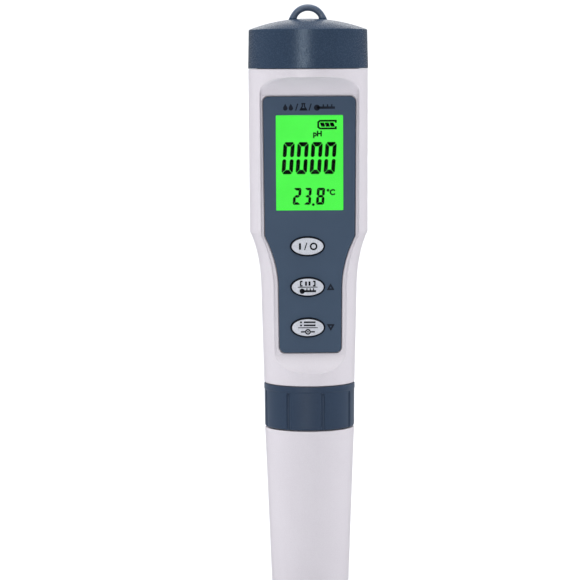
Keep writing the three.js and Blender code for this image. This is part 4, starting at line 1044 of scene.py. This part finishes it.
SPECKLED = {  # name, dark, middle and light colour, roughness, grain size and depth in mm, other sockets
    "shell": ("satin_white", (206, 201, 208), (212, 207, 214), (217, 213, 219), 0.36, 0.22, 0.004,
        dict(Specular_IOR_Level=0.45)),
    "slate": ("slate_moulding", (40, 54, 73), (47, 62, 82), (54, 70, 91), 0.25, 0.34, 0.05,
        dict(Specular_IOR_Level=0.32, Specular_Tint=(0.72, 0.86, 1, 1))),
    # the eye's row: a lighter copy of the cap's slate, a painted highlight for an eye that catches light all
    # round
    "eye": ("slate_painted_highlight", (68, 82, 103), (78, 92, 113), (90, 104, 124), 0.3, 0.34, 0.03,
        dict(Specular_IOR_Level=0.5)),
    "collar": ("slate_collar", (37, 53, 74), (42, 58, 80), (47, 64, 87), 0.4, 0.26, 0.008,
        dict(Specular_IOR_Level=0.3, Sheen_Weight=0.12, Sheen_Tint=(0.8, 0.9, 1, 1))),
    "panel": ("slate_bezel", (55, 72, 93), (61, 78, 99), (67, 84, 105), 0.55, 0.12, 0.004,
        dict(Specular_IOR_Level=0.22)),
    "key": ("key_grey", (178, 181, 190), (195, 198, 207), (212, 215, 223), 0.4, 0.34, 0.006,
        dict(Specular_IOR_Level=0.4)),
    # key sides: near-black, painted shade for the gap round each key
    "skirt": ("key_side_painted_shade", (17, 22, 31), (22, 28, 38), (28, 34, 45), 0.6, 0.15, 0.003,
        dict(Specular_IOR_Level=0.15)),
    "ink": ("ink", (12, 15, 22), (18, 22, 30), (24, 28, 37), 0.6, 0.1, 0.001,
        dict(Specular_IOR_Level=0.15)),
    "panel_ink": ("panel_ink", (16, 22, 34), (21, 28, 41), (26, 34, 48), 0.6, 0.1, 0.001,
        dict(Specular_IOR_Level=0.15)),
    "silicone": ("milky_silicone", (190, 193, 197), (200, 203, 207), (208, 211, 214), 0.5, 0.3, 0.004,
        dict(Subsurface_Weight=0.2, Subsurface_Scale=0.002)),
    "rubber": ("black_rubber", (28, 29, 32), (36, 38, 41), (44, 46, 49), 0.62, 0.14, 0.008, {}),
    "black": ("black_moulding", (26, 27, 30), (32, 33, 37), (40, 41, 45), 0.45, 0.2, 0.006, {}),
    "inner": ("inner_moulding", (205, 206, 204), (214, 215, 212), (221, 222, 219), 0.5, 0.25, 0.006, {}),
}
LOOKS = {key: speckled(*row[:-1], **row[-1]) for key, row in SPECKLED.items()}

LOOKS["steel"] = steel = Look("nickel_steel", (196, 198, 202), 0.28, Metallic=1.0)
lines = steel.noise(0.5, 4.0, 0.6, stretch=(1, 1, 6))
steel.rough(lines, (0.3, 0.2), (0.7, 0.4))
steel.color(steel.noise(1.5), (0.3, (184, 186, 190)), (0.7, (206, 208, 211)))
steel.bump(lines, 0.002)

LOOKS["gold"] = gold = Look("gold_plating", (222, 178, 92), 0.22, Metallic=1.0)
wear = gold.noise(0.7, 4.0)
gold.color(wear, (0.35, (204, 158, 76)), (0.7, (232, 192, 108)))
gold.rough(wear, (0.3, 0.18), (0.7, 0.34))

LOOKS["glass"] = glass = Look("electrode_glass", (246, 250, 251), 0.03, Transmission_Weight=1.0, IOR=1.47)
glass.bump(glass.noise(2.5, 1.0), 0.01)
glass.rough(glass.noise(1.2), (0.4, 0.01), (0.8, 0.05))

LOOKS["window"] = window = Look("clear_window", (252, 254, 253), 0.02, Transmission_Weight=1.0, IOR=1.12)
window.rough(window.noise(3.0), (0.4, 0.0), (0.8, 0.03))
window.bump(window.noise(6.0, 1.0), 0.002)

LOOKS["lcd"] = lcd = Look("lit_display", (8, 40, 8), 0.5, Emission_Strength=1.0, Specular_IOR_Level=0.1)
glow = lcd.ramp(lcd.noise(14.0, 1.0), (0.3, (78, 244, 77)), (0.7, (84, 252, 82)))
lcd.links.new(glow, lcd.shader.inputs["Emission Color"])
lcd.color(lcd.noise(0.25, 1.0), (0.4, (6, 36, 7)), (0.6, (10, 44, 11)))

LOOKS["segment"] = segment = Look("display_segment", (6, 12, 7), 0.6, Specular_IOR_Level=0.05)
segment.color(segment.noise(0.3), (0.3, (5, 10, 6)), (0.7, (12, 22, 12)))
segment.bump(segment.noise(0.2), 0.001)

LOOKS["diffuser"] = diffuser = Look(
    "light_guide", (240, 244, 238), 0.5, Subsurface_Weight=0.3, Subsurface_Scale=0.002
)
diffuser.bump(diffuser.cells(0.5), 0.01)
diffuser.color(diffuser.noise(4.0), (0.3, (232, 238, 230)), (0.7, (246, 249, 243)))

LOOKS["board"] = board = Look("solder_mask", (24, 92, 52), 0.35, Coat_Weight=0.4)
track = board.cells(2.2, "DISTANCE_TO_EDGE")
board.color(track, (0.02, (48, 128, 74)), (0.09, (22, 88, 50)))
board.bump(board.ramp(track, (0.03, 1.0), (0.1, 0.0)), 0.03)
board.rough(board.noise(1.0), (0.3, 0.28), (0.7, 0.45))

LOOKS["jacket"] = jacket = Look("cell_jacket", (46, 74, 138), 0.3, Metallic=0.35, Coat_Weight=0.5)
BLUE, SILVER = (46, 74, 138), (206, 208, 212)
jacket.color(
    jacket.height(),
    (0.0, BLUE), (0.1345, BLUE), (0.1348, SILVER), (0.1365, SILVER), (0.1368, BLUE), (1.0, BLUE),
)
jacket.rough(jacket.noise(1.2), (0.3, 0.22), (0.7, 0.38))
jacket.bump(jacket.noise(3.0, 2.0), 0.02)

LOOKS["ceramic"] = ceramic = Look("porous_ceramic", (238, 232, 220), 0.85)
pores = ceramic.cells(0.22)
# the pores are painted darker as well as sunk by the bump: painted shade in the pores
ceramic.color(pores, (0.1, (206, 198, 182)), (0.5, (241, 236, 225)))
ceramic.bump(pores, 0.05)

LOOKS["sponge"] = sponge = Look("storage_sponge", (226, 219, 186), 0.95)
holes = sponge.cells(0.9)
small = sponge.cells(0.35)
# the holes are painted darker as well as sunk by the bump: painted shade in the holes
sponge.color(holes, (0.12, (150, 141, 104)), (0.45, (232, 226, 196)))
sponge.bump(holes, 0.5).bump(small, 0.15)

LOOKS["floor"] = floor = Look("pale_floor", (214, 215, 217), 0.7, Specular_IOR_Level=0.15)
floor.color(floor.noise(60.0), (0.3, (212, 213, 215)), (0.7, (216, 217, 219)))
floor.bump(floor.noise(1.5), 0.01)


# ---- putting pieces into the frame
def dress(obj, look, smooth_angle=35):
    obj.data.materials.clear()
    obj.data.materials.append(LOOKS[look].material)
    obj.data.shade_smooth()
    obj.data.set_sharp_from_angle(angle=math.radians(smooth_angle))
    normals = obj.modifiers.new("normals", "WEIGHTED_NORMAL")
    normals.keep_sharp = True
    normals.weight = 60
    return obj


def place(obj, look, body, slot, *nodes, smooth_angle=35):
    """Gives a new piece its material and the CAD body it rides on, and hides the CAD nodes it stands for."""
    dress(obj, look, smooth_angle)
    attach(obj, body)
    if nodes:
        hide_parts(*nodes)
    return obj


def keep(node, look, bevel_mm):
    """A CAD node whose shape is right stays, with a finer edge and its material."""
    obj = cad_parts[node]
    obj.data.materials.clear()
    obj.data.materials.append(LOOKS[look].material)
    bevel(obj, bevel_mm, 2, 40)


place(housing(), "shell", "housing", "housing_shell", "main_housing", smooth_angle=30)
place(bezel(), "panel", "housing", "panel_overlay", "front_panel")
place(decal("panel_marks", panel_marks(), PANEL_FRONT_Y), "panel_ink", "housing", "panel_overlay")

window = prism(
    "clear_window",
    rounded_rect(SCREEN_X, SCREEN_Z, SCREEN_W - 0.1, SCREEN_H - 0.1, 0.3),
    edge_stations(PANEL_FRONT_Y + 0.1, PANEL_FRONT_Y + 1.0, 0.08, 3),
)
place(window, "window", "housing", "window", "display_window")
(lx0, ly0, lz0), (lx1, ly1, lz1) = span("lcd_glass")
screen = prism(
    "lit_screen",
    rounded_rect((lx0 + lx1) / 2, (lz0 + lz1) / 2, lx1 - lx0, lz1 - lz0, 0.2),
    edge_stations(ly0, ly1, 0.1, 3),
)
place(screen, "lcd", "housing", "lcd", "lcd_glass")
place(decal("display_segments", display_marks(), ly0 - 0.02), "segment", "housing", "lcd")
left, top = SCREEN_X - SCREEN_W / 2, SCREEN_Z + SCREEN_H / 2
for piece, text, x, z, height in (
    ("unit_ph", "pH", left + 11.75, top - 6.6, 1.62),
    ("unit_celsius", "°C", left + 15.95, top - 25.1, 1.7),
):
    place(unit_mark(piece, text, x, z, height, ly0 - PRINT_T), "segment", "housing", "lcd")

for name in KEYS:
    body = f"{name}_button"
    # the key's sides get the near-black look, painted shade in the gap round the key
    second_look(place(key_cap(name), "key", body, "key_grey", body), "skirt", on_skirt)
    place(decal(f"{name}_mark", key_marks(name), KEY_FACE_Y), "ink", body, "key_grey")

# the lanyard eye gets the lighter slate copy, a painted highlight
second_look(place(cap(), "slate", "battery_cap", "slate_plastic", "battery_cap"), "eye", on_eye)
place(collar(), "collar", "collar", "slate_plastic", "collar_ring")
place(sheath(), "shell", "sheath", "housing_shell", "probe_sheath")
place(probe_shell(), "shell", "probe_module", "housing_shell", "probe_body")
place(bulb(), "glass", "probe_module", "electrode_glass", "glass_electrode")
for piece, node, r in (
    ("tds_electrode_left", "tds_pin_left", 0.7),
    ("tds_electrode_right", "tds_pin_right", 0.7),
    ("thermistor_tip", "temperature_sensor", 1.3),
):
    place(tipped(piece, node, r), "steel", "probe_module", "steel", node)
for i in range(1, 7):
    place(contact_pin(i), "gold", "probe_module", "gold_contact", f"contact_pin_{i}")
for piece, r, wire, z, body, node in (
    ("plug_oring", PLUG_R - 0.38, 0.6, SPIGOT_LOW_Z + 3, "probe_module", "probe_seal"),
    ("neck_oring", NECK_R + 0.35, 0.62, BODY_TOP_Z + 1.2, "housing", "neck_seal"),
    ("socket_oring", 5.82, 0.38, BODY_LOW_Z + 2.35, "housing", "socket_seal"),
):
    place(o_ring(piece, r, wire, z), "rubber", body, "rubber_black", node)

(x0, y0, z0), (x1, y1, z1) = span("sheath_seal")
lip = lathe(
    "sheath_lip",
    [(PROBE_R + 0.25, z0, 0.1), (x1, z0, 0.2), (x1, z1, 0.2), (PROBE_R + 0.25, z1, 0.1),
     (PROBE_R + 0.12, z1 - 0.5, 0.15), (PROBE_R + 0.3, (z0 + z1) / 2, 0.3), (PROBE_R + 0.12, z0 + 0.5, 0.15)],
)
place(lip, "silicone", "sheath", "silicone", "sheath_seal")
(x0, y0, z0), (x1, y1, z1) = span("storage_sponge")
pad = lathe("sponge_pad", [(0, z0), (x1, z0, 0.6), (x1, z1, 0.9), (0, z1)], sides=96)
place(pad, "sponge", "sheath", "sponge", "storage_sponge")

for side, up in (("left", True), ("right", False)):
    node = f"battery_cell_{side}"
    can, jacket = cell(f"cell_{side}", node, up)
    place(can, "steel", "housing", "battery_jacket", node)
    place(jacket, "jacket", "housing", "battery_jacket", node)
SPRING_WIRE = 0.3
spring = sweep("bay_spring", coil_path("cell_spring", SPRING_WIRE, 3, True), SPRING_WIRE)
x, y, _ = middle("cell_spring")
z = span("cell_spring")[0][2]
cup = lathe("spring_cup", [(0, z), (3.6, z, 0.1), (3.6, z + 0.4, 0.1), (0, z + 0.4)], 48, x, y)
place(spring, "steel", "housing", "steel", "cell_spring")
place(cup, "steel", "housing", "steel", "cell_spring")
bridge = sweep("bridge_coil", coil_path("bridge_spring", SPRING_WIRE, 2, False), SPRING_WIRE)
place(bridge, "steel", "contact_carrier", "steel", "bridge_spring")

KEPT = {
    "rubber": "panel_gasket zebra_connector",
    "inner": "display_frame inner_chassis socket_ribbon contact_carrier",
    "board": "main_board",
    "black": "probe_socket controller_chip amplifier_chip power_plunger hold_plunger mode_plunger "
    "pin_carrier sensor_plate",
    "steel": "clock_crystal cell_contact bridge_plate power_switch hold_switch mode_switch electrode_wire "
    "board_screw_1 board_screw_2 board_screw_3",
    "ceramic": "reference_junction",
    "diffuser": "backlight_panel",
}
THIN = ("panel_gasket", "socket_ribbon", "bridge_plate")
for look, nodes in KEPT.items():
    for node in nodes.split():
        keep(node, look, 0.04 if node in THIN else 0.1)


# ---- floor, lights, camera
def cyclorama():
    """A pale floor that curves up into a pale wall far behind the object."""
    line = [(-12000, 0), (-2500, 0), (0, 0), (600, 0)]
    line += [(600 + 900 * math.sin(a), 900 - 900 * math.cos(a)) for a in np.linspace(0.1, math.pi / 2, 16)]
    line += [(1500, 3200)]
    verts = [(x, y, z) for y, z in line for x in (-12000, 12000)]
    faces = [(2 * i, 2 * i + 1, 2 * i + 3, 2 * i + 2) for i in range(len(line) - 1)]
    sheet = new_object("studio_floor", verts, faces)
    sheet.data.materials.append(LOOKS["floor"].material)
    sheet.data.shade_smooth()
    sheet.visible_glossy = False


MIDDLE = (0, 0, 110)
LIGHTS = (  # place, aim and size in millimetres, watts, and whether it shows in reflections
    ("key_softbox", (-330, -650, 1150), MIDDLE, (500, 500), 1.5, True),
    ("top_softbox", (0, -150, 1300), MIDDLE, (900, 700), 7, True),
    ("streak_strip", (-205, -1000, 240), MIDDLE, (240, 240), 2.5, True),
    ("rim_softbox", (60, 1150, 560), (0, 0, 175), (800, 300), 0.95, True),
    ("left_panel", (-1200, 180, 720), MIDDLE, (1200, 1000), 9.9, False),
    ("right_panel", (1200, 180, 720), MIDDLE, (1200, 1000), 12.2, False),
    ("backdrop_lamp", (0, 500, 1900), (0, 1300, 200), (1600, 700), 25, False),
)


def area_light(name, place_mm, aim_mm, size_mm, watts, glossy):
    data = bpy.data.lights.new(name, "AREA")
    data.shape = "RECTANGLE"
    data.size, data.size_y = (s * MM for s in size_mm)
    data.energy = watts
    lamp = add(name, data)
    lamp.location = Vector(place_mm) * MM
    direction = (Vector(aim_mm) - Vector(place_mm)).normalized()
    lamp.rotation_mode = "QUATERNION"
    lamp.rotation_quaternion = direction.to_track_quat("-Z", "Y")
    lamp.visible_camera = False
    lamp.visible_glossy = glossy


def studio():
    scene = bpy.context.scene
    scene.view_settings.view_transform = "Standard"
    world = bpy.data.worlds.new("studio_air")
    world.use_nodes = True
    back = world.node_tree.nodes["Background"]
    back.inputs["Color"].default_value = (0.98, 0.99, 1.0, 1)
    back.inputs["Strength"].default_value = 0.26
    scene.world = world
    for light in LIGHTS:
        area_light(*light)


LENS_MM = 162
CAMERA_DISTANCE, CAMERA_HEIGHT = 830, 167.5
CAMERA_SIDE, CAMERA_TURN = 2.25, 0.419  # degrees it stands to the left, and looks back to the left of the pen
CAMERA_TILT, CAMERA_ROLL = 4.842, 0.28  # degrees down, and about its own axis


def camera():
    data = bpy.data.cameras.new("camera")
    data.sensor_width = 36
    data.lens = LENS_MM
    cam = add("camera", data)
    side = math.radians(CAMERA_SIDE)
    away = (-CAMERA_DISTANCE * math.sin(side), -CAMERA_DISTANCE * math.cos(side), CAMERA_HEIGHT)
    cam.location = Vector(away) * MM
    heading = side - math.radians(CAMERA_TURN)
    tilt = math.radians(CAMERA_TILT)
    aim = Vector((math.sin(heading) * math.cos(tilt), math.cos(heading) * math.cos(tilt), -math.sin(tilt)))
    roll = Quaternion(aim, math.radians(CAMERA_ROLL))
    cam.rotation_mode = "QUATERNION"
    cam.rotation_quaternion = roll @ aim.to_track_quat("-Z", "Y")
    data.clip_start, data.clip_end = 0.01, 20
    bpy.context.scene.camera = cam


cyclorama()
studio()
camera()
